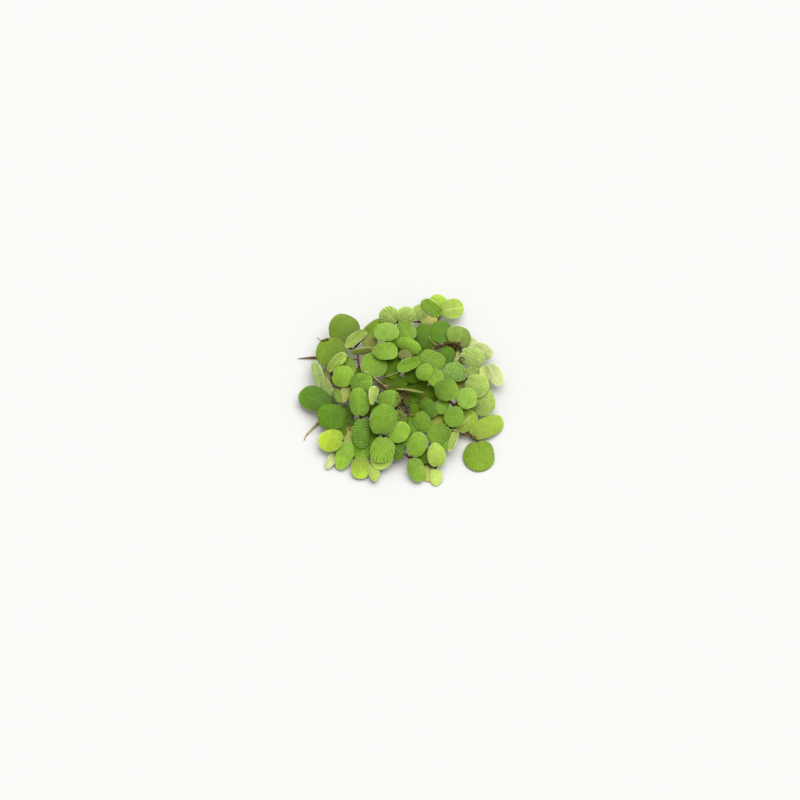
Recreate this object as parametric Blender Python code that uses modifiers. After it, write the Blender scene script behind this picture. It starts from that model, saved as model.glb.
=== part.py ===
"""A clump of floating fern: paired oval leaves on branched stems, with a few root-like hanging leaves.

Lengths are in millimetres here and become metres where a mesh is made. Each leaf is laid by where its
base and tip show in the photograph, and is then moved towards the camera until it clears what lies
under it, so the picture stays the same while the leaves stack like shingles.
"""

import math
from typing import NamedTuple

import bmesh
import bpy
from mathutils import Matrix, Vector
from mathutils.bvhtree import BVHTree

OBJECT_NAME = "floating_fern_clump"
HELPERS_NAME = "joined_stalks_and_strands"
MM = 0.001

# How the photograph looks at the clump
MM_PER_PX = 0.4
MIDDLE_PX = (400.0, 389.0)
CAMERA_ELEVATION = math.radians(58.0)
LOOK_UP = math.sin(CAMERA_ELEVATION)
LOOK_ACROSS = math.cos(CAMERA_ELEVATION)
TOWARDS_CAMERA = Vector((0.0, -LOOK_ACROSS, LOOK_UP))
FAR = 200.0

# The heap that the leaves lie on, as a low dome
HEAP_RADIUS = 45.0
HEAP_HEIGHT = 12.5
HEAP_ROUNDNESS = 0.7
HEAP_MIDDLE_Y = 1.0
HEIGHT_STEP = 0.1

# Leaves
LEAF_THICKNESS = 0.45
LEAF_LOWEST = 0.5
LEAF_ROWS = 5
LEAF_COLUMNS = 4
LEAF_SQUARENESS = 0.9
LEAF_DROOP = 0.05
LEAF_NOTCH = 0.1
LEAF_NOTCH_WIDTH = 0.3
FOLD_FROM = 15.0
LEAF_FACING = Vector((0.0, 0.0, 0.6)) + 0.4 * TOWARDS_CAMERA

# Clearances
GAP = 0.3
LEAST_COSINE = 0.35
LIFT_STEP = 0.2
MOST_LIFT_STEPS = 60

# Stems, stalks and roots
STEM_SPACING = 3.0
STEM_SIDES_RESOLUTION = 1
STEM_LOWEST = 0.7
STALK_RADIUS = 0.34
STALK_END_RADIUS = 0.28
STALK_LONGEST = 13.0
STALK_BEND = 1.6
ROOT_SPACING = 3.2
TUFT_STRANDS = 5
TUFT_RADIUS = 0.42
TUFT_END_RADIUS = 0.16
TUFT_SHAPE = ((-0.06, 1.0), (0.22, 0.82), (0.62, 0.3), (1.0, 0.0))

LEAF_TONES = {
    "bright": "B9DC43",
    "light": "9CC53F",
    "mid": "7DB92E",
    "dark": "4E8F22",
}
STEM_COLOUR = "6A4A2A"
ROOT_COLOUR = "9A7C4A"


class Leaf(NamedTuple):
    """One leaf: the pixels of its base and tip, its width, how far its base is sunk, and how it lies."""

    name: str
    base_px: tuple
    tip_px: tuple
    width: float
    sunk: float
    rise: float
    roll: float
    cup: float
    tone: str


class Path(NamedTuple):
    """A stem or root: pixels with the depth under the heap's surface, and its radius at both ends."""

    name: str
    stations: tuple
    start_radius: float
    end_radius: float


class Tuft(NamedTuple):
    """A tuft of root strands that spread down to the ground from one point."""

    name: str
    crown: tuple
    reach: float
    turn: float


# Farthest and lowest first, as they cover each other
LEAVES = (
    Leaf("leaf_upper_left_1", (344.5, 344.5), (342.5, 313.0), 12.2, 2.0, 2.5, 0, -8, "mid"),
    Leaf("leaf_upper_left_2", (345.0, 347.0), (315.5, 357.5), 11.4, 2.5, -2.0, 0, -8, "mid"),
    Leaf("leaf_upper_left_3", (366.0, 331.0), (345.0, 346.0), 4.5, 0.8, -1.0, 0, 25, "bright"),
    Leaf("leaf_upper_left_4", (328.0, 371.0), (345.0, 353.0), 4.2, 1.2, 1.5, 0, 25, "light"),
    Leaf("leaf_upper_left_5", (332.0, 374.5), (353.0, 377.0), 9.0, 1.5, 0.5, 0, -10, "light"),
    Leaf("leaf_left_1", (330.0, 405.5), (300.5, 389.5), 8.6, 2.2, -2.0, 0, -8, "dark"),
    Leaf("leaf_left_2", (332.5, 403.0), (332.0, 429.0), 12.0, 1.0, -2.5, 0, -10, "dark"),
    Leaf("leaf_top_1", (396.0, 319.0), (382.0, 311.0), 7.0, 1.5, 1.0, 0, -8, "light"),
    Leaf("leaf_top_2", (397.5, 319.0), (413.0, 309.0), 7.0, 1.5, 1.0, 0, -8, "light"),
    Leaf("leaf_top_3", (400.0, 320.0), (412.0, 339.0), 7.2, 0.7, 0.5, 0, -8, "light"),
    Leaf("leaf_top_4", (443.0, 306.5), (432.5, 295.0), 7.6, 1.0, 1.0, 0, -8, "bright"),
    Leaf("leaf_top_5", (442.0, 312.0), (464.5, 307.5), 9.0, 1.0, -1.0, 0, 6, "bright"),
    Leaf("leaf_top_6", (440.5, 314.0), (423.5, 297.5), 5.6, 0.5, 1.0, 0, 12, "mid"),
    Leaf("leaf_upper_right_1", (438.0, 321.0), (444.0, 341.0), 8.4, 0.7, 0.5, 0, -12, "mid"),
    Leaf("leaf_upper_right_2", (457.5, 343.0), (461.5, 327.5), 10.8, 1.5, 1.0, 15, -10, "mid"),
    Leaf("leaf_upper_right_3", (462.0, 352.0), (484.0, 362.0), 8.5, 1.2, -1.0, 0, -8, "light"),
    Leaf("leaf_right_1", (471.0, 390.0), (489.5, 413.0), 10.2, 3.0, -2.0, 0, -8, "light"),
    Leaf("leaf_right_2", (466.0, 373.0), (443.0, 370.0), 9.0, 1.2, 0.5, 0, -8, "mid"),
    Leaf("leaf_right_3", (467.0, 379.5), (488.0, 392.0), 9.5, 1.5, -1.5, 0, -8, "light"),
    Leaf("leaf_middle_1", (420.5, 352.0), (398.0, 340.0), 5.8, 1.0, 0.5, 0, -14, "light"),
    Leaf("leaf_middle_2", (422.0, 352.5), (443.0, 366.0), 7.5, 1.0, -0.5, 0, -8, "light"),
    Leaf("leaf_middle_3", (376.0, 379.0), (371.0, 352.0), 10.4, 3.0, 0.5, 0, -6, "light"),
    Leaf("leaf_middle_4", (386.0, 341.5), (386.0, 359.0), 10.0, 0.2, 0.5, 0, -8, "light"),
    Leaf("leaf_middle_5", (386.0, 340.0), (387.0, 322.0), 10.0, 0.3, 1.0, 0, -8, "light"),
    Leaf("leaf_middle_6", (373.0, 380.5), (350.0, 384.0), 8.0, 1.2, -0.5, 0, -8, "mid"),
    Leaf("leaf_middle_7", (378.0, 402.0), (400.0, 395.0), 7.5, 2.5, 0.0, 0, -8, "light"),
    Leaf("leaf_lower_left_1", (361.0, 418.5), (362.0, 448.0), 7.4, 1.5, -3.0, 0, -12, "dark"),
    Leaf("leaf_lower_left_2", (360.0, 415.5), (358.0, 388.0), 8.0, 1.0, 2.5, 0, -12, "mid"),
    Leaf("leaf_lower_left_3", (350.0, 440.0), (338.0, 469.0), 6.4, 1.5, -3.5, 0, -10, "bright"),
    Leaf("leaf_lower_left_4", (343.0, 440.5), (318.5, 439.5), 9.4, 0.8, -2.0, 0, -6, "bright"),
    Leaf("leaf_lower_left_5", (363.0, 456.5), (359.0, 478.0), 8.0, 1.0, -2.5, 0, -8, "bright"),
    Leaf("leaf_bottom_1", (385.0, 444.0), (379.0, 469.0), 10.0, 3.0, -3.0, 0, -8, "light"),
    Leaf("leaf_bottom_2", (388.0, 436.0), (409.0, 427.0), 8.6, 1.0, 0.0, 0, -6, "light"),
    Leaf("leaf_bottom_3", (383.0, 436.0), (382.0, 461.0), 9.6, 0.5, -2.5, 0, -8, "light"),
    Leaf("leaf_bottom_4", (380.5, 433.0), (386.0, 405.0), 10.6, 0.5, 2.5, 0, -8, "mid"),
    Leaf("leaf_bottom_5", (418.0, 412.0), (428.0, 431.0), 6.8, 2.0, -2.5, 0, -12, "mid"),
    Leaf("leaf_bottom_6", (447.5, 425.0), (430.0, 441.0), 8.0, 1.5, -2.0, 0, -8, "mid"),
    Leaf("leaf_bottom_7", (410.0, 458.5), (420.0, 481.0), 6.8, 1.0, -3.0, 0, -12, "mid"),
    Leaf("leaf_bottom_8", (410.5, 456.0), (423.0, 433.0), 8.0, 0.5, 2.5, 0, -8, "light"),
    Leaf("leaf_bottom_9", (435.0, 468.5), (437.0, 485.0), 5.6, 1.0, -2.0, 0, -8, "bright"),
    Leaf("leaf_bottom_10", (437.0, 466.0), (436.0, 443.0), 7.0, 0.5, 3.0, 0, -10, "bright"),
    Leaf("leaf_lower_right_1", (471.0, 434.0), (503.0, 417.0), 8.2, 1.5, -1.5, 0, -8, "bright"),
    Leaf("leaf_lower_right_2", (476.5, 440.5), (481.0, 470.5), 12.3, 1.0, -3.0, 0, -8, "mid"),
    Leaf("leaf_right_4", (458.0, 402.0), (477.0, 395.5), 8.2, 0.5, -0.5, 0, -6, "light"),
    Leaf("leaf_right_5", (449.5, 400.5), (443.0, 379.0), 9.6, 1.0, 2.0, 0, -8, "mid"),
    Leaf("leaf_right_6", (453.0, 406.5), (453.0, 427.0), 8.4, 0.8, -2.5, 0, -8, "light"),
)

# (pixel x, pixel y, depth under the heap's surface) along each one
STEMS = (
    Path(
        "stem_main",
        (
            (436.0, 467.0, 3.5), (424.0, 463.0, 4.5), (409.0, 457.0, 4.5), (395.0, 446.0, 5.0),
            (383.0, 434.0, 5.0), (388.0, 418.0, 7.5), (399.0, 402.0, 9.0), (397.0, 380.0, 9.0),
            (390.0, 360.0, 7.0), (386.0, 341.0, 4.5), (390.0, 328.0, 4.5), (398.0, 320.5, 4.0),
            (411.0, 320.5, 4.0), (425.0, 321.0, 4.0), (437.0, 320.5, 4.0), (440.5, 313.0, 4.0),
        ),
        0.5,
        0.5,
    ),
    Path(
        "stem_upper_left",
        (
            (396.0, 388.0, 9.0), (386.0, 387.0, 6.5), (377.0, 380.5, 5.0), (369.0, 374.0, 5.0),
            (360.0, 370.0, 5.0), (358.0, 361.0, 5.0), (356.5, 352.0, 4.5), (345.0, 345.5, 4.5),
        ),
        0.55,
        0.4,
    ),
    Path(
        "stem_left",
        (
            (394.0, 396.0, 9.5), (378.0, 392.0, 8.0), (360.0, 386.0, 7.5), (344.0, 379.0, 5.5),
            (331.0, 372.5, 4.0), (332.5, 390.0, 4.5), (331.0, 404.0, 3.5),
        ),
        0.55,
        0.4,
    ),
    Path(
        "stem_lower_left",
        (
            (393.0, 410.0, 9.0), (378.0, 414.0, 7.5), (361.5, 417.0, 5.0), (351.0, 429.0, 5.5),
            (347.0, 440.0, 4.0), (354.0, 449.0, 4.5), (362.5, 456.5, 3.5),
        ),
        0.55,
        0.4,
    ),
    Path(
        "stem_lower_right",
        (
            (400.0, 404.0, 9.0), (414.0, 407.0, 8.0), (432.0, 405.0, 7.5), (451.0, 402.5, 5.0),
            (454.5, 416.0, 5.5), (451.0, 429.0, 5.0), (464.0, 434.5, 4.0), (477.0, 440.0, 3.5),
        ),
        0.55,
        0.4,
    ),
    Path(
        "stem_right",
        (
            (399.0, 393.0, 9.0), (414.0, 384.0, 8.5), (432.0, 372.5, 5.5), (448.0, 377.0, 6.0),
            (465.5, 378.0, 4.0), (476.0, 386.0, 5.5),
        ),
        0.55,
        0.4,
    ),
    Path(
        "stem_upper_right",
        (
            (393.0, 370.0, 8.5), (405.0, 362.0, 7.5), (420.5, 353.0, 5.0), (438.0, 347.0, 5.5),
            (457.0, 344.0, 4.0), (463.0, 352.0, 4.5), (473.0, 345.0, 4.0),
        ),
        0.55,
        0.4,
    ),
)

ROOTS = (
    Path(
        "root_left_spike",
        ((342.0, 350.5, 6.0), (332.0, 356.5, 8.0), (317.0, 357.0, 9.0), (307.0, 357.5, 9.0), (296.5, 358.2, 9.0)),
        0.8,
        0.1,
    ),
    Path(
        "root_left_curved",
        ((329.0, 408.0, 5.0), (326.0, 415.0, 8.0), (312.0, 429.0, 9.0), (306.5, 435.0, 9.0), (304.0, 440.5, 9.0)),
        0.5,
        0.14,
    ),
    Path(
        "root_middle",
        ((408.0, 388.0, 6.5), (404.0, 396.0, 5.5), (398.0, 403.0, 5.0), (404.0, 413.0, 4.5), (415.0, 416.0, 4.5)),
        0.5,
        0.16,
    ),
)

TUFTS = (
    Tuft("root_tuft_middle", (406.0, 392.0, 10.0), 9.0, 20.0),
    Tuft("root_tuft_left", (347.0, 391.0, 7.5), 8.5, 65.0),
    Tuft("root_tuft_right", (462.0, 396.0, 7.0), 8.5, 5.0),
    Tuft("root_tuft_front", (398.0, 437.0, 7.0), 8.0, 40.0),
)


class Laid(NamedTuple):
    """What is already in place: world points in millimetres, faces and their search tree."""

    points: list
    faces: list
    tree: BVHTree


def sight_point(px, py, height):
    """The point that shows at a pixel of the photograph, at a height over the ground."""
    across = (px - MIDDLE_PX[0]) * MM_PER_PX
    up = (MIDDLE_PX[1] - py) * MM_PER_PX
    return Vector((across, (up - height * LOOK_ACROSS) / LOOK_UP, height))


def heap_height(x, y):
    """The heap's surface over a point of the ground."""
    out = math.hypot(x, y - HEAP_MIDDLE_Y) / HEAP_RADIUS
    return HEAP_HEIGHT * max(0.0, 1.0 - out * out) ** HEAP_ROUNDNESS


def point_in_heap(px, py, sunk, lowest):
    """The first point of a sight line that is sunk that far under the heap's surface."""
    height = HEAP_HEIGHT
    while height > lowest:
        point = sight_point(px, py, height)
        if heap_height(point.x, point.y) - sunk >= height:
            break
        height -= HEIGHT_STEP
    return sight_point(px, py, max(height, lowest))


def clear_scene():
    for obj in list(bpy.data.objects):
        bpy.data.objects.remove(obj, do_unlink=True)


def new_collection(name):
    collection = bpy.data.collections.new(name)
    bpy.context.scene.collection.children.link(collection)
    return collection


def linear_colour(code):
    """A hex colour as the linear values that a shader takes."""
    channels = [int(code[i : i + 2], 16) / 255.0 for i in (0, 2, 4)]
    return [c / 12.92 if c <= 0.04045 else ((c + 0.055) / 1.055) ** 2.4 for c in channels] + [1.0]


def new_material(name, code, roughness):
    material = bpy.data.materials.new(name)
    material.use_nodes = True
    shader = material.node_tree.nodes["Principled BSDF"]
    shader.inputs["Base Color"].default_value = linear_colour(code)
    shader.inputs["Roughness"].default_value = roughness
    shader.inputs["Metallic"].default_value = 0.0
    material.diffuse_color = linear_colour(code)
    return material


def leaf_frame(leaf):
    """The leaf's base point, its three axes as a matrix (across, along, up) and its length."""
    base = point_in_heap(*leaf.base_px, leaf.sunk, LEAF_LOWEST)
    tip_height = max(base.z + leaf.rise, LEAF_LOWEST)
    tip = sight_point(*leaf.tip_px, tip_height)
    along = (tip - base).normalized()
    normal = (LEAF_FACING - along * LEAF_FACING.dot(along)).normalized()
    across = along.cross(normal)
    turn = Matrix.Rotation(math.radians(leaf.roll), 3, along)
    axes = Matrix((turn @ across, along, turn @ normal)).transposed()
    return base, axes, (tip - base).length


def leaf_surface_point(leaf, length, a, b):
    """A point of the unit square as a point of the leaf, with a notched base and cupped or folded sides."""
    x = math.copysign(abs(a * math.sqrt(1.0 - b * b / 2.0)) ** LEAF_SQUARENESS, a)
    y = math.copysign(abs(b * math.sqrt(1.0 - a * a / 2.0)) ** LEAF_SQUARENESS, b)
    notch = LEAF_NOTCH * math.exp(-((y / LEAF_NOTCH_WIDTH) ** 2)) * (1.0 - x) / 2.0
    power = 1.1 if abs(leaf.cup) > FOLD_FROM else 2.0
    cup = math.tan(math.radians(leaf.cup)) * leaf.width / 2.0 * abs(y) ** power
    return Vector(
        (
            y * leaf.width / 2.0,
            length * ((x + 1.0) / 2.0 + notch),
            cup - LEAF_DROOP * length * x * x,
        )
    )


def leaf_object(leaf, material, collection):
    """A leaf blade as a grid shaped to its outline and thickened, at its place but not yet lifted."""
    base, axes, length = leaf_frame(leaf)
    blade = bmesh.new()
    bmesh.ops.create_grid(blade, x_segments=LEAF_COLUMNS, y_segments=LEAF_ROWS, size=1.0)
    for vertex in blade.verts:
        vertex.co = leaf_surface_point(leaf, length, vertex.co.y, vertex.co.x) * MM
    mesh = bpy.data.meshes.new(leaf.name)
    blade.to_mesh(mesh)
    blade.free()
    obj = bpy.data.objects.new(leaf.name, mesh)
    collection.objects.link(obj)
    obj.matrix_world = Matrix.Translation(base * MM) @ axes.to_4x4()
    mesh.materials.append(material)
    thicken = obj.modifiers.new("thickness", "SOLIDIFY")
    thicken.thickness = LEAF_THICKNESS * MM
    thicken.offset = 0.0
    return obj


def laid_mesh(obj):
    """The object as it is evaluated, in world millimetres."""
    bpy.context.view_layer.update()
    graph = bpy.context.evaluated_depsgraph_get()
    evaluated = obj.evaluated_get(graph)
    mesh = evaluated.to_mesh()
    points = [evaluated.matrix_world @ v.co / MM for v in mesh.vertices]
    faces = [tuple(p.vertices) for p in mesh.polygons]
    evaluated.to_mesh_clear()
    return Laid(points, faces, BVHTree.FromPolygons(points, faces))


def joined(pieces):
    """Several laid pieces as one, for casting sight lines on them."""
    points = []
    faces = []
    for piece in pieces:
        start = len(points)
        points.extend(piece.points)
        faces.extend(tuple(i + start for i in face) for face in piece.faces)
    return Laid(points, faces, BVHTree.FromPolygons(points, faces))


def moved(piece, by):
    points = [p + by for p in piece.points]
    return Laid(points, piece.faces, BVHTree.FromPolygons(points, piece.faces))


def gap_along_sight(normal):
    return GAP / max(LEAST_COSINE, abs(normal.dot(TOWARDS_CAMERA)))


def sight_lift(piece, under):
    """How far towards the camera a piece has to go to lie in front of all that it covers."""
    lift = max(0.0, -min(p.z for p in piece.points) / TOWARDS_CAMERA.z)
    for point in piece.points:
        hit, normal, _, _ = under.tree.ray_cast(point + TOWARDS_CAMERA * FAR, -TOWARDS_CAMERA)
        if hit is not None:
            lift = max(lift, (hit - point).dot(TOWARDS_CAMERA) + gap_along_sight(normal))
    for point in under.points:
        hit, normal, _, _ = piece.tree.ray_cast(point - TOWARDS_CAMERA * FAR, TOWARDS_CAMERA)
        if hit is not None:
            lift = max(lift, (point - hit).dot(TOWARDS_CAMERA) + gap_along_sight(normal))
    return lift


def lay_leaf(obj, laid):
    """Lifts a leaf towards the camera until it clears every piece that is already in place."""
    thicken = obj.modifiers["thickness"]
    thicken.thickness = (LEAF_THICKNESS + GAP) * MM
    thick = laid_mesh(obj)
    thicken.thickness = LEAF_THICKNESS * MM
    by = TOWARDS_CAMERA * sight_lift(laid_mesh(obj), joined(laid.values()))
    for _ in range(MOST_LIFT_STEPS):
        trial = moved(thick, by)
        if not any(trial.tree.overlap(piece.tree) for piece in laid.values()):
            break
        by += TOWARDS_CAMERA * LIFT_STEP
    obj.location += by * MM
    laid[obj.name] = laid_mesh(obj)


def smooth_points(points, spacing):
    """Points at an even spacing on a smooth curve through the given ones."""
    ends = [2.0 * points[0] - points[1], *points, 2.0 * points[-1] - points[-2]]
    fine = [points[0]]
    for k in range(1, len(ends) - 2):
        p0, p1, p2, p3 = ends[k - 1 : k + 3]
        for i in range(1, 13):
            t = i / 12.0
            fine.append(
                0.5
                * (
                    2.0 * p1
                    + (p2 - p0) * t
                    + (2.0 * p0 - 5.0 * p1 + 4.0 * p2 - p3) * t**2
                    + (3.0 * p1 - p0 - 3.0 * p2 + p3) * t**3
                )
            )
    lengths = [0.0]
    for a, b in zip(fine, fine[1:]):
        lengths.append(lengths[-1] + (b - a).length)
    count = max(2, round(lengths[-1] / spacing))
    even = []
    k = 0
    for i in range(count + 1):
        want = lengths[-1] * i / count
        while k < len(lengths) - 2 and lengths[k + 1] < want:
            k += 1
        share = (want - lengths[k]) / max(1e-9, lengths[k + 1] - lengths[k])
        even.append(fine[k].lerp(fine[k + 1], min(1.0, share)))
    return even


def tube_object(name, points, start_radius, end_radius, resolution, material, collection):
    """A tapered closed tube along a path, turned from a bevelled curve into a welded mesh."""
    curve = bpy.data.curves.new(name, "CURVE")
    curve.dimensions = "3D"
    curve.bevel_depth = MM
    curve.bevel_resolution = resolution
    curve.use_fill_caps = True
    spline = curve.splines.new("POLY")
    spline.points.add(len(points) - 1)
    for i, point in enumerate(points):
        share = i / (len(points) - 1)
        spline.points[i].co = (*((point - points[0]) * MM), 1.0)
        spline.points[i].radius = start_radius + (end_radius - start_radius) * share
    guide = bpy.data.objects.new(name + "_path", curve)
    collection.objects.link(guide)
    bpy.context.view_layer.update()
    graph = bpy.context.evaluated_depsgraph_get()
    mesh = bpy.data.meshes.new_from_object(guide.evaluated_get(graph))
    bpy.data.objects.remove(guide, do_unlink=True)
    shell = bmesh.new()
    shell.from_mesh(mesh)
    bmesh.ops.remove_doubles(shell, verts=shell.verts, dist=0.01 * MM)
    bmesh.ops.recalc_face_normals(shell, faces=shell.faces)
    shell.to_mesh(mesh)
    shell.free()
    mesh.name = name
    mesh.materials.clear()
    mesh.materials.append(material)
    obj = bpy.data.objects.new(name, mesh)
    collection.objects.link(obj)
    obj.location = points[0] * MM
    return obj


def nearest_on(path_points, point):
    """The nearest point of a polyline, and how far along it is, from 0 to 1."""
    best = None
    for k, (a, b) in enumerate(zip(path_points, path_points[1:])):
        share = max(0.0, min(1.0, (point - a).dot(b - a) / max(1e-9, (b - a).length_squared)))
        near = a.lerp(b, share)
        if best is None or (near - point).length < best[0]:
            best = ((near - point).length, near, (k + share) / (len(path_points) - 1))
    return best


def trimmed_start(points, others, radius):
    """A path without the part that would reach into the stems that are already laid."""
    room = 2.2 * radius + GAP
    while len(points) > 3 and any(nearest_on(other, points[0])[0] < room for other in others):
        ahead = points[1] - points[0]
        if ahead.length <= HEIGHT_STEP * 2.0:
            points = points[1:]
        else:
            points = [points[0] + ahead.normalized() * HEIGHT_STEP * 2.0, *points[1:]]
    return points


def stem_objects(material, collection, laid):
    """All stems, each starting just off the main one, and the centre line of each."""
    lines = {}
    made = {}
    for stem in STEMS:
        stations = [point_in_heap(px, py, sunk, STEM_LOWEST) for px, py, sunk in stem.stations]
        points = smooth_points(stations, STEM_SPACING)
        points = trimmed_start(points, lines.values(), stem.start_radius)
        lines[stem.name] = points
        obj = tube_object(
            stem.name, points, stem.start_radius, stem.end_radius, STEM_SIDES_RESOLUTION, material, collection
        )
        made[stem.name] = obj
        laid[stem.name] = laid_mesh(obj)
    return made, lines


def root_objects(material, collection, laid):
    """The root-like hanging leaves, each moved back along its sight line where a stem is in its way."""
    for root in ROOTS:
        stations = []
        for k, (px, py, sunk) in enumerate(root.stations):
            share = k / (len(root.stations) - 1)
            lowest = root.start_radius + (root.end_radius - root.start_radius) * share
            stations.append(point_in_heap(px, py, sunk, lowest))
        points = smooth_points(stations, ROOT_SPACING)
        obj = tube_object(root.name, points, root.start_radius, root.end_radius, 0, material, collection)
        piece = laid_mesh(obj)
        for _ in range(MOST_LIFT_STEPS):
            if not any(piece.tree.overlap(other.tree) for other in laid.values()):
                break
            obj.location += TOWARDS_CAMERA * LIFT_STEP * MM
            piece = laid_mesh(obj)
        laid[obj.name] = piece


def join_to(obj, helper):
    """Joins a hidden helper to an object with a live union."""
    helper.hide_render = True
    helper.display_type = "WIRE"
    join = obj.modifiers.new(helper.name, "BOOLEAN")
    join.operation = "UNION"
    join.solver = "EXACT"
    join.object = helper


def tuft_objects(material, collection, helpers, laid):
    """Tufts of root strands under the clump, each strand bowing down from the crown to the ground."""
    for tuft in TUFTS:
        crown = point_in_heap(*tuft.crown, TUFT_RADIUS * 3.0)
        strands = []
        for k in range(TUFT_STRANDS):
            angle = math.radians(tuft.turn + 360.0 * k / TUFT_STRANDS)
            reach = tuft.reach * (1.0 + 0.18 * math.sin(3.0 * angle))
            points = [
                Vector(
                    (
                        crown.x + math.cos(angle + 0.3 * out) * reach * out,
                        crown.y + math.sin(angle + 0.3 * out) * reach * out,
                        TUFT_RADIUS + (crown.z - TUFT_RADIUS) * down,
                    )
                )
                for out, down in TUFT_SHAPE
            ]
            name = tuft.name if k == 0 else f"{tuft.name}_strand_{k}"
            into = collection if k == 0 else helpers
            strands.append(tube_object(name, points, TUFT_RADIUS, TUFT_END_RADIUS, 0, material, into))
        for strand in strands[1:]:
            join_to(strands[0], strand)
        laid[tuft.name] = laid_mesh(strands[0])


def stalk_routes(line, end):
    """Ways from a stem to a leaf's base: straight first, then bent to each side, from the nearest points."""
    near = nearest_on(line, end)[1]
    starts = [near, *sorted(line, key=lambda p: (p - end).length)[:2]]
    for start in starts:
        yield [start, start.lerp(end, 0.5), end]
    for reach in (STALK_BEND, 2.0 * STALK_BEND):
        for start in starts:
            middle = start.lerp(end, 0.6)
            for k in range(8):
                angle = k * math.pi / 4.0
                yield [start, middle + Vector((math.cos(angle), math.sin(angle), 0.0)) * reach, end]


def add_stalks(leaf_objects, stems, lines, laid, material, helpers):
    """A short stalk from the nearest stem to each leaf's base, joined to that stem."""
    for leaf in LEAVES:
        obj = leaf_objects[leaf.name]
        axes = obj.matrix_world.to_3x3()
        notch = leaf_surface_point(leaf, leaf_frame(leaf)[2], -1.0, 0.0)
        below = Vector((0.0, -STALK_END_RADIUS, -LEAF_THICKNESS / 2.0 - GAP - STALK_END_RADIUS))
        stop = obj.location / MM + axes @ (notch + below)
        ranked = sorted((nearest_on(line, stop)[0], name) for name, line in lines.items())
        for reach, stem_name in ranked[:2]:
            if reach > STALK_LONGEST or "stalk_" + leaf.name[5:] in laid:
                break
            others = [piece for name, piece in laid.items() if name != stem_name]
            for route in stalk_routes(lines[stem_name], stop):
                stalk = tube_object(
                    "stalk_" + leaf.name[5:], route, STALK_RADIUS, STALK_END_RADIUS, 0, material, helpers
                )
                piece = laid_mesh(stalk)
                if not any(piece.tree.overlap(other.tree) for other in others):
                    laid[stalk.name] = piece
                    join_to(stems[stem_name], stalk)
                    break
                bpy.data.objects.remove(stalk, do_unlink=True)


def stand_on_ground(objects, laid, root):
    """Moves the whole clump so that the middle of the bottom of its box is the origin."""
    points = [p for obj in objects for p in laid[obj.name].points]
    low = [min(p[k] for p in points) for k in range(3)]
    high = [max(p[k] for p in points) for k in range(3)]
    root.location = Vector((-(low[0] + high[0]) / 2.0, -(low[1] + high[1]) / 2.0, -low[2])) * MM


def main():
    clear_scene()
    parts = new_collection(OBJECT_NAME)
    helpers = new_collection(HELPERS_NAME)
    helpers.hide_render = True
    leaf_materials = {tone: new_material("leaf_" + tone, code, 0.45) for tone, code in LEAF_TONES.items()}
    stem_material = new_material("stem_brown", STEM_COLOUR, 0.7)
    root_material = new_material("root_tan", ROOT_COLOUR, 0.75)
    laid = {}
    stems, lines = stem_objects(stem_material, parts, laid)
    root_objects(root_material, parts, laid)
    tuft_objects(root_material, parts, helpers, laid)
    leaves = {}
    for leaf in LEAVES:
        leaves[leaf.name] = leaf_object(leaf, leaf_materials[leaf.tone], parts)
        lay_leaf(leaves[leaf.name], laid)
    add_stalks(leaves, stems, lines, laid, stem_material, helpers)
    root = bpy.data.objects.new(OBJECT_NAME, None)
    parts.objects.link(root)
    for obj in [*parts.objects, *helpers.objects]:
        if obj is not root:
            obj.parent = root
    stand_on_ground([obj for obj in parts.objects if obj is not root], laid, root)


if __name__ == "__main__":
    main()
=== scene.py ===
"""Looks for a clump of floating fern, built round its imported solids.

Every leaf solid is replaced by a detailed blade, and the smaller leaves, the hairy stems, the stalks
and the feathery roots are added. Lengths are in millimetres until a mesh is made from them.
"""

import logging
import math
from dataclasses import dataclass, field
from enum import Enum
from typing import Iterable, Optional, Sequence

import bpy
import numpy as np
from mathutils import Matrix, Vector
from mathutils.bvhtree import BVHTree

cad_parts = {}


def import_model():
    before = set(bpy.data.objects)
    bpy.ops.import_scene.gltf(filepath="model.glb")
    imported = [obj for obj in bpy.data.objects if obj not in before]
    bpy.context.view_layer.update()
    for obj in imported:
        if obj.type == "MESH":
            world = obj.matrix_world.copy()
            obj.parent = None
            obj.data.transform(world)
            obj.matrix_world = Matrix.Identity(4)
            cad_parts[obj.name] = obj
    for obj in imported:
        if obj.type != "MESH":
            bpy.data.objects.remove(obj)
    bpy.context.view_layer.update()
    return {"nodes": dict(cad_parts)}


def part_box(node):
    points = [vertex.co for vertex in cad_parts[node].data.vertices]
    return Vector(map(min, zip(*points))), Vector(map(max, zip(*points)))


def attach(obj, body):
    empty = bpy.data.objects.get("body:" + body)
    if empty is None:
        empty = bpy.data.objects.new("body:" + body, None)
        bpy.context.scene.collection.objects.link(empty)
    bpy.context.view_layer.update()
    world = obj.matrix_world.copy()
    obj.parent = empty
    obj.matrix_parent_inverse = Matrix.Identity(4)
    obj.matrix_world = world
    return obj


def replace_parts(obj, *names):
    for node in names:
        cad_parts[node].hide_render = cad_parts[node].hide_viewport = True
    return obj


LOG = logging.getLogger("floating_fern")
MM = 0.001
SEED = 11

# How the photograph looks at the clump, with the same values as the solids
MM_PER_PX = 0.4
MIDDLE_PX = (400.0, 389.0)
CAMERA_ELEVATION = math.radians(58.0)
LOOK_UP = math.sin(CAMERA_ELEVATION)
LOOK_ACROSS = math.cos(CAMERA_ELEVATION)
TOWARDS_CAMERA = Vector((0.0, -LOOK_ACROSS, LOOK_UP))
FAR = 200.0

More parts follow.
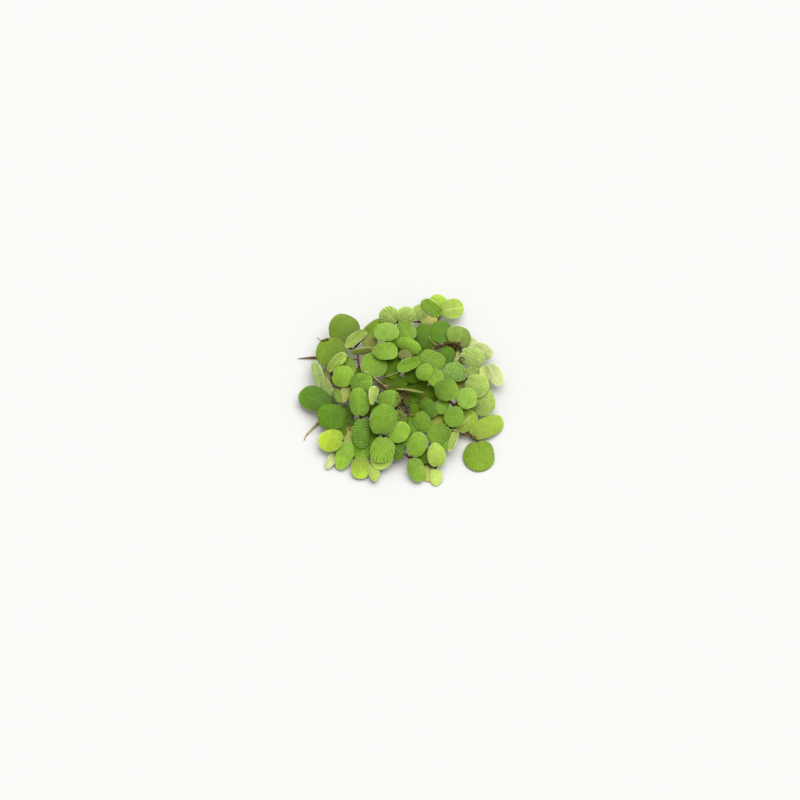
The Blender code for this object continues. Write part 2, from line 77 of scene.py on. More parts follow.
# The low dome that the leaves lie on, with the same values as the solids
HEAP_RADIUS = 45.0
HEAP_HEIGHT = 12.5
HEAP_ROUNDNESS = 0.7
HEAP_MIDDLE_Y = 1.0
HEIGHT_STEP = 0.1
LEAF_LOWEST = 0.5
LEAF_FACING = Vector((0.0, 0.0, 0.6)) + 0.4 * TOWARDS_CAMERA
STEM_LOWEST = 0.7
SOLID_ROWS = 5
SOLID_COLUMNS = 4
SOLID_NOTCH = 0.1
SOLID_NOTCH_WIDTH = 0.3

# Blades
SQUARENESS = 0.9
DROOP = 0.05
FOLD_FROM = 15.0
NOTCH = 0.05
NOTCH_WIDTH = 0.16
THICKNESS = 0.4
RIM_THIN = 0.7
RIM_WIDTH = 0.5
RIB_WIDTH = 0.32
RIB_GROOVE = 0.05
RIB_KEEL = 0.22
RIB_END = 0.95
RIB_FADE = 0.5
RIB_CLEAR = 1.6
RIM_POWER = 1.5
WAVE = 0.22
UNEVEN = 0.025
UNEVEN_WAVES = ((1.0, 2, 1.0), (0.7, 3, 2.7), (0.4, 5, 4.1))
TEETH = 0.14
FAN_START = 0.35
PAPILLA_PITCH = 0.85
RIDGE_POWER = 1.3
BEAD_POWER = 1.4
BARE_FADE = 0.3
BARE_LEAST = 0.15
EDGE_FADE = 0.75
SPOT_LEAST = 0.1
PATCHY = 0.2
PATCH_WAVES = (1.7, 1.3)
BEAD_LEAST = 0.45
BEAD_RANGE = 0.9
ROW_BEND = 0.06
ROW_SWAY = 0.16
SWAY_WAVES = (1.1, 0.8)
# How far round the margin the white hem spreads, in degrees: a painted highlight
GLINT_SPREAD = 45.0
GAP = 0.12
SEARCH_STEP = 1.1

# Large odd factors that turn a place into a number that looks random but is the same each run
PHASE_DRAW = (12.9898, 78.233, 43758.5453)
BEAD_DRAW = (12.99, 78.23, 43758.5)


class Tone(Enum):
    """The age and light of a leaf, which pick its finish."""

    # A darker skin for leaves deep in the heap: painted shade
    SHADED = "shaded"
    DARK = "dark"
    OLD = "old"
    MID = "mid"
    LIGHT = "light"
    PALE = "pale"
    BRIGHT = "bright"
    YOUNG = "young"
    PALEST = "palest"
    FADED = "faded"
    TAN = "tan"
    # Pale olive skin for low leaves in the heap's gaps: withered, and pale as painted light where the floor
    # shows lit between the leaves
    WITHERED = "withered"


class Relief(Enum):
    """Rows of papillae: height, share that is ridge, pitch, and how much valley and crest colour shows. The
    valley colour is painted shade between the rows, and the crest colour partly pale hairs and partly painted
    highlight.
    """

    # Height and pitch are in millimetres
    SMOOTH = (0.05, 0.25, 0.9, 0.2, 0.4)
    DOTTED = (0.15, 0.1, 0.95, 0.4, 0.95)
    VEINED = (0.1, 0.45, 0.92, 0.5, 0.55)
    RIDGED = (0.18, 0.45, 0.98, 0.85, 0.95)


@dataclass(frozen=True)
class Leaf:
    """One leaf as the photograph shows it.

    base_px and tip_px are pixels, width is in millimetres, sunk is how far the base lies under the
    heap's surface and rise is how much higher the tip lies. rows is the angle of the papilla rows to
    the midrib in degrees, a fan has rows that spread from the base instead, and bare is the share of
    the leaf's middle that has few. egg is positive where the leaf is widest near its tip, point
    narrows the tip, and light is its own brightness, partly painted light that lifts a leaf lying in
    shade. slope changes it towards the tip and to the right: painted light and shade on
    the curved blade, partly the leaf's own paler young parts. sheen_veil makes it milky, a painted sheen,
    and below nought deepens its colour. roll and cup are turns in degrees. rim and rib are how much the
    margin's and the midrib's colours show, and the pale margin is partly painted highlight. hem_glint is
    how white the margin is at glint_at, in degrees from the tip: a painted highlight, partly pale hairs.
    step is the mesh's spacing in millimetres.
    """

    name: str
    base_px: tuple[float, float]
    tip_px: tuple[float, float]
    width: float
    sunk: float
    rise: float
    tone: Tone
    relief: Relief = Relief.DOTTED
    rows: float = 55.0
    fan: bool = False
    bare: float = -0.5
    roll: float = 0.0
    cup: float = -8.0
    egg: float = 0.0
    point: float = 0.0
    # light is partly painted light that lifts leaves lying in shade; the slope is painted light and shade
    # across the blade, partly its paler young parts
    light: float = 1.0
    slope: tuple[float, float] = (0.12, 0.0)
    # veil takes colour out as a painted sheen; below nought it deepens the colour
    sheen_veil: float = 0.0
    # The pale margin that rim shows is partly painted highlight
    rim: float = 0.6
    # The white hem is a painted highlight on one side of the margin, partly pale hairs
    hem_glint: float = 0.0
    glint_at: float = 0.0
    rib: float = 0.15
    step: float = 0.16


# Deep leaves take the shaded skin unless told otherwise: painted shade
def deep(name: str, base_px: tuple[float, float], tip_px: tuple[float, float], width: float, sunk: float,
         tone: Tone = Tone.SHADED, rise: float = 0, light: float = 1.0, sheen_veil: float = 0.0) -> Leaf:
    """Describes a leaf deep in the heap, which shows little. Args: as a leaf's. Returns it, coarser."""
    return Leaf(name, base_px, tip_px, width, sunk, rise, tone, light=light, sheen_veil=sheen_veil, step=0.3)


# Short names that keep the list of leaves readable
T = Tone
R = Relief
# Farthest and lowest first, as they cover each other
# light above 1 on the deep and low leaves is painted light, lifting them out of the heap's shade
LEAVES = (
    deep("deep_1", (428, 385), (405, 377), 8.0, 6.0, light=1.1),
    deep("deep_2", (380, 384), (408, 382), 6.0, 5.0),
    deep("deep_3", (420, 391), (406, 405), 6.5, 6.0, light=1.05),
    deep("deep_4", (392, 352), (392, 378), 8.0, 5.0, light=1.1),
    deep("deep_5", (437, 341), (420, 348), 6.0, 4.0),
    deep("deep_6", (346, 404), (347, 431), 6.0, 3.5, rise=-1, light=1.25, sheen_veil=0.1),
    deep("deep_7", (428, 447), (418, 463), 6.0, 3.0, rise=-1),
    deep("deep_8", (356, 366), (355, 390), 6.0, 4.0),
    deep("deep_9", (400, 345), (410, 355), 6.0, 4.0),
    deep("deep_10", (438, 385), (427, 401), 7.0, 7.0, light=1.15),
    deep("deep_11", (365, 401), (379, 414), 6.0, 6.0, light=1.3),
    deep("deep_12", (374, 418), (370, 444), 6.5, 5.0, light=1.4),
    deep("deep_13", (464, 336), (445, 349), 6.5, 5.0, T.FADED, light=1.2),
    deep("deep_14", (474, 350), (469, 336), 5.5, 3.0, T.PALEST, light=0.95),
    deep("deep_15", (467, 379), (458, 392), 6.5, 5.0, T.FADED, light=0.95),
    deep("deep_16", (338, 425), (346, 439), 4.5, 4.0, light=1.15),
    deep("deep_17", (388, 346), (402, 335), 6.5, 4.0, T.DARK, light=1.6),
    deep("deep_18", (426, 371), (405, 378), 7.0, 5.0),
    deep("deep_19", (455, 405), (467, 410), 6.0, 4.5, T.DARK),
    deep("deep_20", (424, 420), (412, 405), 5.5, 8.0, light=1.3),
    deep("deep_21", (390, 388), (398, 402), 6.0, 8.0),
    deep("deep_22", (452, 352), (463, 366), 5.0, 7.0),
    deep("deep_23", (396, 425), (404, 446), 6.5, 6.5, T.MID, light=1.4),
    deep("deep_24", (433, 420), (447, 430), 5.0, 6.5, T.DARK),
    deep("deep_25", (352, 441), (369, 448), 7.0, 4.0, T.DARK, light=1.7),
    # Pale low leaves in the gaps: their paleness and light are partly painted light where the floor shows lit
    deep("withered_1", (330, 366), (325, 384), 6.0, 9.0, T.WITHERED, light=1.4),
    deep("withered_2", (348.5, 385), (341, 402), 4.6, 9.0, T.WITHERED, light=0.9, sheen_veil=-0.2),
    deep("withered_3", (347, 446), (353, 425), 5.0, 9.0, T.WITHERED, light=0.9, sheen_veil=-0.2),
    deep("withered_4", (446, 415), (429, 424), 4.4, 9.0, T.WITHERED, sheen_veil=-0.3),
    deep("withered_5", (466, 352), (450, 362), 5.0, 9.0, T.WITHERED, light=1.3),
    Leaf("upper_left_1", (344.5, 344.5), (343, 312), 12.6, 2.0, 2.5, T.OLD, R.DOTTED, 12, egg=-0.08,
         light=0.86, slope=(0.3, -0.1), rim=0.9, rib=0.2),
    Leaf("upper_left_2", (346, 346.5), (315.3, 355.5), 12.2, 2.5, -2.0, T.OLD, R.DOTTED, 20, egg=0.08,
         light=0.98, slope=(0.2, 0.15), rim=0.9, rib=0.1),
    Leaf("top_left_boat", (361.5, 338), (382.5, 320), 5.4, 1.8, 0, T.OLD, R.VEINED, cup=24, light=1.15,
         rim=0.9),
    Leaf("behind_top_left", (366, 348), (373, 334), 6.0, 3.0, 0, T.FADED, light=0.88, sheen_veil=-0.1, hem_glint=0.8,
         glint_at=-120),
    Leaf("upper_left_3", (366, 329.5), (344.5, 347), 4.5, 0.8, -1.0, T.BRIGHT, R.RIDGED, 75, cup=25,
         light=0.88, sheen_veil=0.1, hem_glint=0.5, glint_at=-90),
    Leaf("left_folded_1", (321.5, 389), (313.3, 360), 4.2, 2.5, 0, T.PALE, cup=22, point=0.5, light=0.95,
         slope=(0.1, 0.1), sheen_veil=0.12, hem_glint=1.0, glint_at=50),
    Leaf("left_folded_2", (334, 404), (323, 377.5), 4.4, 2.0, 0, T.PALE, cup=18, light=0.8, slope=(0.1, 0.3),
         sheen_veil=0.12),
    Leaf("left_small_dark", (335, 388), (339.5, 402), 3.2, 3.0, 0, T.OLD, R.SMOOTH, light=0.95, sheen_veil=0.06),
    Leaf("behind_upper_left", (345, 356), (350, 375), 6.4, 2.5, 0, T.OLD, R.VEINED, light=1.02,
         slope=(0.3, -0.1)),
    Leaf("upper_left_4", (328, 371), (345, 352.5), 4.5, 1.2, 1.5, T.PALE, R.VEINED, 25, cup=25, light=0.95,
         slope=(0.1, -0.1)),
    Leaf("upper_left_scrap", (339.5, 364.5), (345.5, 357.5), 1.7, 1.2, 0.5, T.BRIGHT, R.SMOOTH),
    Leaf("upper_left_5", (331.5, 374.5), (353.5, 377), 9.0, 1.5, 0.5, T.LIGHT, R.SMOOTH, cup=-10, light=1.04,
         slope=(0.12, -0.1), rim=0.7, rib=0.05),
    Leaf("upper_left_edge", (350, 353), (373, 349), 3.2, 3.0, 0, T.FADED, R.SMOOTH, roll=50, light=1.1,
         rim=1.0),
    Leaf("left_1", (331, 406.5), (300.3, 390.5), 10.2, 2.2, -2.0, T.DARK, R.VEINED, egg=0.18, light=1.04,
         slope=(0.3, -0.15), sheen_veil=0.05, rim=0.9, rib=0.08),
    Leaf("left_2", (332.5, 403), (332, 429), 12.0, 1.0, -2.5, T.DARK, R.DOTTED, 40, cup=-10, light=1.08,
         slope=(0, 0.15), rib=0.1),
    Leaf("top_1", (398, 320), (380.5, 309), 8.3, 1.5, 1.0, T.PALE, R.RIDGED, fan=True, bare=0.3, light=1.04,
         slope=(0.15, 0.3)),
    Leaf("top_2", (397.5, 320), (413.8, 309), 8.0, 1.5, 1.0, T.PALE, R.RIDGED, 57, bare=0.2, light=1.02,
         slope=(0.25, -0.35)),
    Leaf("top_tan", (420.5, 321.5), (438, 316), 4.6, 3.0, 0, T.TAN, R.SMOOTH, light=0.92, slope=(0.2, 0.0)),
    Leaf("behind_top_right", (424, 318), (416.5, 303.5), 6.0, 2.0, 0, T.PALE, R.VEINED, light=0.93,
         slope=(0.3, -0.15)),
    Leaf("top_3", (400, 320), (412, 339), 7.2, 0.7, 0.5, T.LIGHT, R.RIDGED, light=0.9),
    Leaf("top_4", (445, 308), (431.5, 295.3), 8.2, 1.0, 1.0, T.BRIGHT, R.SMOOTH, light=1.06,
         slope=(0.2, 0.2), rib=0.05),
    Leaf("top_5", (441.5, 309), (464.8, 306), 8.8, 1.0, -1.0, T.BRIGHT, R.SMOOTH, cup=6, light=1.06,
         slope=(0.15, -0.1), sheen_veil=0.06, rib=0.9),
    Leaf("top_6", (440.5, 314.5), (422.5, 298.3), 5.8, 0.5, 1.0, T.MID, R.SMOOTH, cup=12, light=1.05,
         slope=(0.1, 0.2), hem_glint=1.0, glint_at=50, rib=0.05),
    Leaf("upper_right_dark", (427, 322), (418.5, 346), 7.0, 2.5, 0, T.DARK, light=0.87, slope=(-0.25, -0.1)),
    Leaf("upper_right_tan", (427.5, 333), (439, 344.5), 2.6, 2.5, 0, T.TAN, R.SMOOTH, light=0.85),
    Leaf("upper_right_1", (439.5, 319), (444, 341.5), 9.2, 0.7, 0.5, T.DARK, R.SMOOTH, cup=-12, light=1.12,
         slope=(-0.1, 0.1), sheen_veil=0.03, rib=0.05),
    Leaf("behind_upper_right", (449, 345), (445, 366), 6.4, 3.0, 0, T.DARK, R.VEINED, light=0.9,
         slope=(-0.2, 0.0)),
    Leaf("upper_right_2", (456, 344), (463.5, 326), 10.4, 1.5, 1.0, T.OLD, R.RIDGED, 68, roll=15, light=1.24,
         slope=(0.15, -0.1), sheen_veil=0.08, rim=0.9, hem_glint=0.8, glint_at=-30, rib=0.1),
    Leaf("far_right_1", (474.5, 344), (492.5, 356), 6.2, 2.0, 0, T.PALEST, R.RIDGED, 40, light=0.87,
         slope=(0.1, -0.3), hem_glint=0.5, glint_at=-60),
    Leaf("upper_right_3", (461.5, 351), (484.5, 362), 8.4, 1.2, -1.0, T.PALE, R.RIDGED, 50, light=1.15,
         slope=(0.0, -0.2), sheen_veil=0.06, rib=0.1),
    Leaf("far_right_2", (488.8, 363), (500.5, 384.5), 6.2, 1.2, 0, T.PALEST, R.VEINED, cup=12, egg=0.25,
         point=0.35, slope=(0.1, -0.3), sheen_veil=0.08),
    Leaf("far_right_3", (483, 367), (468.5, 374), 6.0, 2.5, 0, T.PALE, R.RIDGED, light=0.84),
    Leaf("far_right_4", (485, 381.5), (485.5, 365), 4.2, 0.8, 0, T.PALEST, R.SMOOTH, cup=18, light=0.88,
         slope=(-0.2, -0.2), sheen_veil=-0.12, rim=1.0, hem_glint=0.6, glint_at=180),
    Leaf("right_1", (472, 387.5), (490.3, 413.5), 11.2, 3.0, -2.0, T.PALE, point=0.4, light=0.93,
         slope=(0.1, -0.3), rim=0.3, rib=0.05),
    Leaf("right_2", (467.5, 373.5), (443, 369.5), 8.4, 1.2, 0.5, T.MID, R.RIDGED, 80, light=1.2, sheen_veil=0.1,
         rib=0.05),
    Leaf("right_3", (467, 378.5), (487.5, 392), 9.6, 1.5, -1.5, T.PALE, R.DOTTED, 62, light=1.06,
         slope=(0.1, -0.2), rib=0.08),
    Leaf("middle_1", (420.5, 351.5), (397.5, 338.5), 6.2, 1.0, 0.5, T.MID, cup=-14, light=1.02,
         slope=(0.0, 0.35), rib=0.1),
    Leaf("centre_faded", (398, 354), (411.5, 354.5), 4.0, 3.5, 0, T.FADED, light=0.74),
    Leaf("centre_folded", (419.5, 359.5), (398, 370), 5.4, 1.2, 0, T.MID, R.SMOOTH, cup=18, light=1.03,
         rim=1.0, rib=0.2),
    Leaf("centre_1", (419, 350), (419, 367), 4.4, 2.0, 0, T.MID, light=0.92),
    Leaf("middle_2", (421.5, 352), (443.5, 365.5), 7.6, 1.0, -0.5, T.LIGHT, R.RIDGED, 30, light=0.93,
         slope=(0.0, 0.0), rib=0.05),
    Leaf("centre_2", (431.5, 368), (438.5, 385.3), 7.0, 1.0, 0, T.LIGHT, R.VEINED, light=0.98, rib=0.05),
    Leaf("centre_3", (433, 372.5), (416, 371), 7.2, 0.5, 0, T.LIGHT, R.SMOOTH, light=0.95, slope=(-0.1, 0.1),
         rib=0.03),
    Leaf("middle_3", (375.5, 378), (371.5, 351.5), 10.4, 3.0, 0.5, T.LIGHT, R.VEINED, 15, bare=0.4, cup=-6,
         light=0.85, slope=(0.1, -0.12), rib=0.05),
    Leaf("middle_4", (385.5, 341), (385.2, 359), 10.0, 0.2, 0.5, T.LIGHT, R.SMOOTH, light=0.92,
         slope=(0.05, -0.12), rim=1.0, rib=0.02),
    Leaf("middle_5", (386.5, 340.5), (386.3, 322), 10.2, 0.3, 1.0, T.LIGHT, R.DOTTED, 70, bare=0.5,
         light=1.1, slope=(0.12, -0.03), sheen_veil=0.04, rim=0.8, rib=0.04),
    Leaf("middle_6", (373, 380.5), (350, 384), 8.2, 1.2, -0.5, T.MID, R.RIDGED, 60, light=1.03,
         slope=(-0.25, 0.0), rib=0.1),
    Leaf("middle_7", (378, 402), (400, 395.5), 7.8, 2.5, 0.0, T.MID, light=1.04, rib=0.1),
    Leaf("centre_edge", (424, 391.5), (396, 387.5), 2.6, 3.0, 0, T.FADED, R.SMOOTH, roll=55),
    Leaf("centre_boat", (371.5, 404.5), (375, 386), 3.8, 0.0, 0, T.BRIGHT, R.SMOOTH, cup=28, egg=0.35,
         light=0.96, slope=(0.1, -0.15), sheen_veil=0.1, rim=1.3, rib=0.2),
    Leaf("lower_left_1", (361, 417.5), (362, 447.5), 7.4, 1.5, -3.0, T.DARK, R.RIDGED, 115, bare=0.3,
         cup=-12, light=1.24, slope=(0.0, 0.2), sheen_veil=0.05, rib=0.08),
    Leaf("lower_left_2", (360, 416), (358.5, 387.5), 8.0, 1.0, 2.5, T.MID, R.RIDGED, 68, cup=-12, light=1.15,
         rib=0.1),
    Leaf("lower_left_dark", (363, 459), (360.5, 441), 7.4, 2.0, 0, T.MID, R.VEINED, 85, slope=(-0.2, 0.0)),
    Leaf("lower_left_folded", (338, 451), (327, 468), 3.8, 1.5, 0, T.PALEST, R.SMOOTH, cup=15, point=0.5,
         light=0.95, sheen_veil=0.06, rib=0.1),
    Leaf("lower_left_3", (349.5, 440.5), (339.5, 469), 6.8, 1.5, -3.5, T.LIGHT, R.SMOOTH, cup=-10, egg=-0.1,
         light=1.2, slope=(0.22, 0.05), sheen_veil=0.03, rib=0.03),
    Leaf("lower_left_4", (343, 440), (318.7, 439.7), 9.6, 0.8, -2.0, T.YOUNG, R.SMOOTH, cup=-6, light=0.98,
         slope=(0.3, 0.0), rib=0.03),
    Leaf("lower_left_5", (362.5, 456), (359.5, 478), 7.8, 1.0, -2.5, T.BRIGHT, R.VEINED, 82, light=1.02,
         slope=(0.4, -0.05), rib=0.1),
    Leaf("front_small_1", (372.8, 462), (375, 480.3), 4.7, 1.2, -1, T.BRIGHT, R.SMOOTH, point=0.6, light=1.1,
         sheen_veil=0.08),
    Leaf("front_dark", (391, 437), (398.5, 458.5), 7.4, 3.5, -1, T.DARK, light=0.87),
    Leaf("bottom_1", (383.5, 444), (380.5, 468.5), 9.0, 3.0, -3.0, T.BRIGHT, R.SMOOTH, light=1.04,
         slope=(0.3, 0.0), sheen_veil=0.08, rib=0.05),
    Leaf("centre_4", (396, 410), (404, 424), 5.0, 3.0, 0, T.MID, light=0.78, slope=(-0.2, 0.4)),
    Leaf("bottom_2", (388, 436), (409.5, 427), 8.6, 1.0, 0.0, T.LIGHT, R.SMOOTH, cup=-6, light=1.07, rim=0.8,
         rib=0.03),
    Leaf("bottom_3", (383, 436), (382, 462), 9.8, 0.5, -2.5, T.LIGHT, R.RIDGED, fan=True, bare=0.65,
         light=1.04, rib=0.06),
    Leaf("bottom_4", (380.5, 433.5), (386, 404), 11.0, 0.5, 2.5, T.MID, R.RIDGED, 50, bare=0.6, light=1.07,
         rib=0.08),
    Leaf("centre_5", (410.5, 413), (413, 433), 5.0, 3.0, 0, T.DARK, light=1.1),
    Leaf("centre_6", (422, 398.5), (434.5, 416), 6.2, 3.0, 0, T.DARK, light=0.85, slope=(0.0, -0.25),
         rim=1.0),
    Leaf("bottom_5", (418.5, 411.5), (427, 431.5), 6.8, 2.0, -2.5, T.MID, R.SMOOTH, cup=-12, light=0.92,
         rim=1.0, hem_glint=0.6, glint_at=60, rib=0.05),
    Leaf("lower_right_dark", (449, 428), (447, 449), 6.4, 2.0, -1, T.MID, light=1.15),
    Leaf("bottom_6", (447, 425), (430, 442), 8.0, 1.5, -2.0, T.MID, R.DOTTED, 60, light=0.98,
         slope=(0.2, 0.1), rib=0.08),
    Leaf("lower_right_folded", (457.5, 429), (449, 451), 3.0, 1.5, -1, T.PALE, R.SMOOTH, cup=18, rim=1.0,
         hem_glint=0.6, glint_at=-90),
    Leaf("right_faded", (456, 430), (475, 412), 8.0, 2.5, 0, T.PALE, R.VEINED, 35, egg=0.15, light=0.98,
         sheen_veil=-0.1, rib=0.7),
    Leaf("centre_7", (446.5, 400), (437.5, 412.5), 5.6, 2.0, 0, T.MID, light=0.92),
    Leaf("front_tan", (424, 464), (428.5, 481), 4.4, 2.0, -1, T.TAN, R.SMOOTH, light=1.16),
    Leaf("bottom_7", (411.5, 457), (421, 480.5), 6.9, 1.0, -3.0, T.MID, R.DOTTED, 60, cup=-12, light=1.2,
         slope=(0.18, 0.0), sheen_veil=0.03, rib=0.08),
    Leaf("bottom_8", (411.5, 455.5), (422.5, 432.3), 7.8, 0.5, 2.5, T.LIGHT, R.VEINED, 30, light=1.03,
         rib=0.05),
    Leaf("bottom_9", (434.5, 467.5), (437, 484.7), 5.4, 1.0, -2.0, T.YOUNG, R.SMOOTH, point=0.3, light=1.14,
         sheen_veil=0.16, rib=0.03),
    Leaf("bottom_10", (436.5, 466.3), (435.8, 442.5), 7.6, 0.5, 3.0, T.BRIGHT, R.SMOOTH, cup=-10, point=0.5,
         light=1.11, sheen_veil=0.06, rib=0.03),
    Leaf("lower_right_1", (471, 434.5), (502.8, 419), 8.8, 1.5, -1.5, T.BRIGHT, R.SMOOTH, egg=0.12,
         light=0.86, slope=(0.2, 0.0), rib=0.03),
    Leaf("lower_right_2", (476.5, 440), (481, 470), 12.6, 1.0, -3.0, T.OLD, R.VEINED, fan=True, bare=0.7,
         light=1.3, slope=(0.15, -0.05), rim=0.9, rib=0.05),
    Leaf("right_4", (456.5, 401), (477, 394.7), 8.8, 0.5, -0.5, T.LIGHT, R.SMOOTH, cup=-6, light=1.19,
         sheen_veil=0.05, rim=0.8, rib=0.03),
    Leaf("right_5", (449.5, 401), (443.5, 378.3), 9.2, 1.0, 2.0, T.MID, R.DOTTED, 50, light=0.9,
         slope=(-0.1, 0.3), rib=0.06),
    Leaf("right_6", (453.5, 405.5), (454, 427), 7.8, 0.8, -2.5, T.MID, R.DOTTED, 40, light=1.14, rib=0.05),
)

# (pixel x, pixel y, depth under the heap's surface) along each stem, as in the solids
STEMS = {
    "stem_main": (
        (436.0, 467.0, 3.5), (424.0, 463.0, 4.5), (409.0, 457.0, 4.5), (395.0, 446.0, 5.0),
        (383.0, 434.0, 5.0), (388.0, 418.0, 7.5), (399.0, 402.0, 9.0), (397.0, 380.0, 9.0),
        (390.0, 360.0, 7.0), (386.0, 341.0, 4.5), (390.0, 328.0, 4.5), (398.0, 320.5, 4.0),
        (411.0, 320.5, 4.0), (425.0, 321.0, 4.0), (437.0, 320.5, 4.0), (440.5, 313.0, 4.0),
    ),
    "stem_upper_left": (
        (396.0, 388.0, 9.0), (386.0, 387.0, 6.5), (377.0, 380.5, 5.0), (369.0, 374.0, 5.0),
        (360.0, 370.0, 5.0), (358.0, 361.0, 5.0), (356.5, 352.0, 4.5), (345.0, 345.5, 4.5),
    ),
    "stem_left": (
        (394.0, 396.0, 9.5), (378.0, 392.0, 8.0), (360.0, 386.0, 7.5), (344.0, 379.0, 5.5),
        (331.0, 372.5, 4.0), (332.5, 390.0, 4.5), (331.0, 404.0, 3.5),
    ),
    "stem_lower_left": (
        (393.0, 410.0, 9.0), (378.0, 414.0, 7.5), (361.5, 417.0, 5.0), (351.0, 429.0, 5.5),
        (347.0, 440.0, 4.0), (354.0, 449.0, 4.5), (362.5, 456.5, 3.5),
    ),
    "stem_lower_right": (
        (400.0, 404.0, 9.0), (414.0, 407.0, 8.0), (432.0, 405.0, 7.5), (451.0, 402.5, 5.0),
        (454.5, 416.0, 5.5), (451.0, 429.0, 5.0), (464.0, 434.5, 4.0), (477.0, 440.0, 3.5),
    ),
    "stem_right": (
        (399.0, 393.0, 9.0), (414.0, 384.0, 8.5), (432.0, 372.5, 5.5), (448.0, 377.0, 6.0),
        (465.5, 378.0, 4.0), (476.0, 386.0, 5.5),
    ),
    "stem_upper_right": (
        (393.0, 370.0, 8.5), (405.0, 362.0, 7.5), (420.5, 353.0, 5.0), (438.0, 347.0, 5.5),
        (457.0, 344.0, 4.0), (463.0, 352.0, 4.5), (473.0, 345.0, 4.0),
    ),
}

# The same for each root, with its radius at both ends
ROOTS = {
    "root_left_spike": (
        ((342.0, 350.5, 6.0), (332.0, 356.5, 8.0), (317.0, 357.0, 9.0), (307.0, 357.5, 9.0),
         (296.5, 358.2, 9.0)), 0.8, 0.1,
    ),
    "root_left_curved": (
        ((329.0, 408.0, 5.0), (326.0, 415.0, 8.0), (312.0, 429.0, 9.0), (306.5, 435.0, 9.0),
         (304.0, 440.5, 9.0)), 0.62, 0.14,
    ),
    "root_middle": (
        ((408.0, 388.0, 6.5), (404.0, 396.0, 5.5), (398.0, 403.0, 5.0), (404.0, 413.0, 4.5),
         (415.0, 416.0, 4.5)), 0.5, 0.16,
    ),
}

# Crown pixels and depth, reach and turn of each tuft, as in the solids
TUFTS = {
    "root_tuft_middle": ((406.0, 392.0, 10.0), 9.0, 20.0),
    "root_tuft_left": ((347.0, 391.0, 7.5), 8.5, 65.0),
    "root_tuft_right": ((462.0, 396.0, 7.0), 8.5, 5.0),
    "root_tuft_front": ((398.0, 437.0, 7.0), 8.0, 40.0),
}
TUFT_STRANDS = 5
TUFT_RADIUS = 0.42
TUFT_SHAPE = ((-0.06, 1.0), (0.22, 0.82), (0.62, 0.3), (1.0, 0.0))


def linear(code: str) -> tuple[float, float, float, float]:
    """Turns an sRGB colour to linear. Args: code, six hex digits. Returns red, green, blue and 1."""
    channels = [int(code[i : i + 2], 16) / 255.0 for i in (0, 2, 4)]
    return (*(c / 12.92 if c <= 0.04045 else ((c + 0.055) / 1.055) ** 2.4 for c in channels), 1.0)


def add_node(tree: bpy.types.NodeTree, kind: str, inputs: Optional[dict] = None,
             **settings: object) -> bpy.types.Node:
    """Adds a node with its settings and links.

    Args: tree to add to; kind of node; inputs, by name or number, each a value or another node's output;
    settings, the node's own properties.
    Returns the node.
    """
    node = tree.nodes.new(kind)
    for name, value in settings.items():
        setattr(node, name, value)
    for name, value in (inputs or {}).items():
        if isinstance(value, bpy.types.NodeSocket):
            tree.links.new(value, node.inputs[name])
        else:
            node.inputs[name].default_value = value
    return node


def new_material(name: str) -> tuple[bpy.types.Material, bpy.types.NodeTree, bpy.types.Node]:
    """Makes an empty material. Args: its name. Returns the material, its tree and its shader."""
    material = bpy.data.materials.new(name)
    material.use_nodes = True
    return material, material.node_tree, material.node_tree.nodes["Principled BSDF"]


# Input and output numbers of Blender's Mix node when it mixes colours
MIX_FACTOR, MIX_A, MIX_B, MIX_OUT = 0, 6, 7, 2


def painted(tree: bpy.types.NodeTree, ground: object, coats: Iterable[tuple]) -> bpy.types.NodeSocket:
    """Lays coats of colour over a ground, one after the other.

    Args: tree; ground, a colour; coats, each an output that says how much of it shows, and its colour.
    Returns the colour that is seen.
    """
    for shows, coat in coats:
        ground = add_node(tree, "ShaderNodeMix", {MIX_FACTOR: shows, MIX_A: ground, MIX_B: coat},
                          data_type="RGBA").outputs[MIX_OUT]
    return ground


def surfaced(tree: bpy.types.NodeTree, shader: bpy.types.Node, colour: bpy.types.NodeSocket,
             height: bpy.types.NodeSocket, bump: tuple[float, float], finish: object) -> None:
    """Gives a shader what every plant skin has.

    Args: tree and shader; colour and height of the skin; bump, its strength and its depth in millimetres;
    finish, which has the roughness and IOR.
    """
    strength, depth = bump
    relief = add_node(tree, "ShaderNodeBump", {
        "Strength": strength, "Distance": depth * MM, "Height": height})
    tree.links.new(colour, shader.inputs["Base Color"])
    tree.links.new(relief.outputs["Normal"], shader.inputs["Normal"])
    shader.inputs["Roughness"].default_value = finish.roughness
    shader.inputs["IOR"].default_value = finish.ior


def let_light_through(shader: bpy.types.Node) -> None:
    """Makes a leaf glow where light falls through it, mostly yellow-green. Args: its shader."""
    shader.inputs["Subsurface Weight"].default_value = 0.3
    shader.inputs["Subsurface Radius"].default_value = (0.8, 1.0, 0.15)
    shader.inputs["Subsurface Scale"].default_value = 0.5 * MM


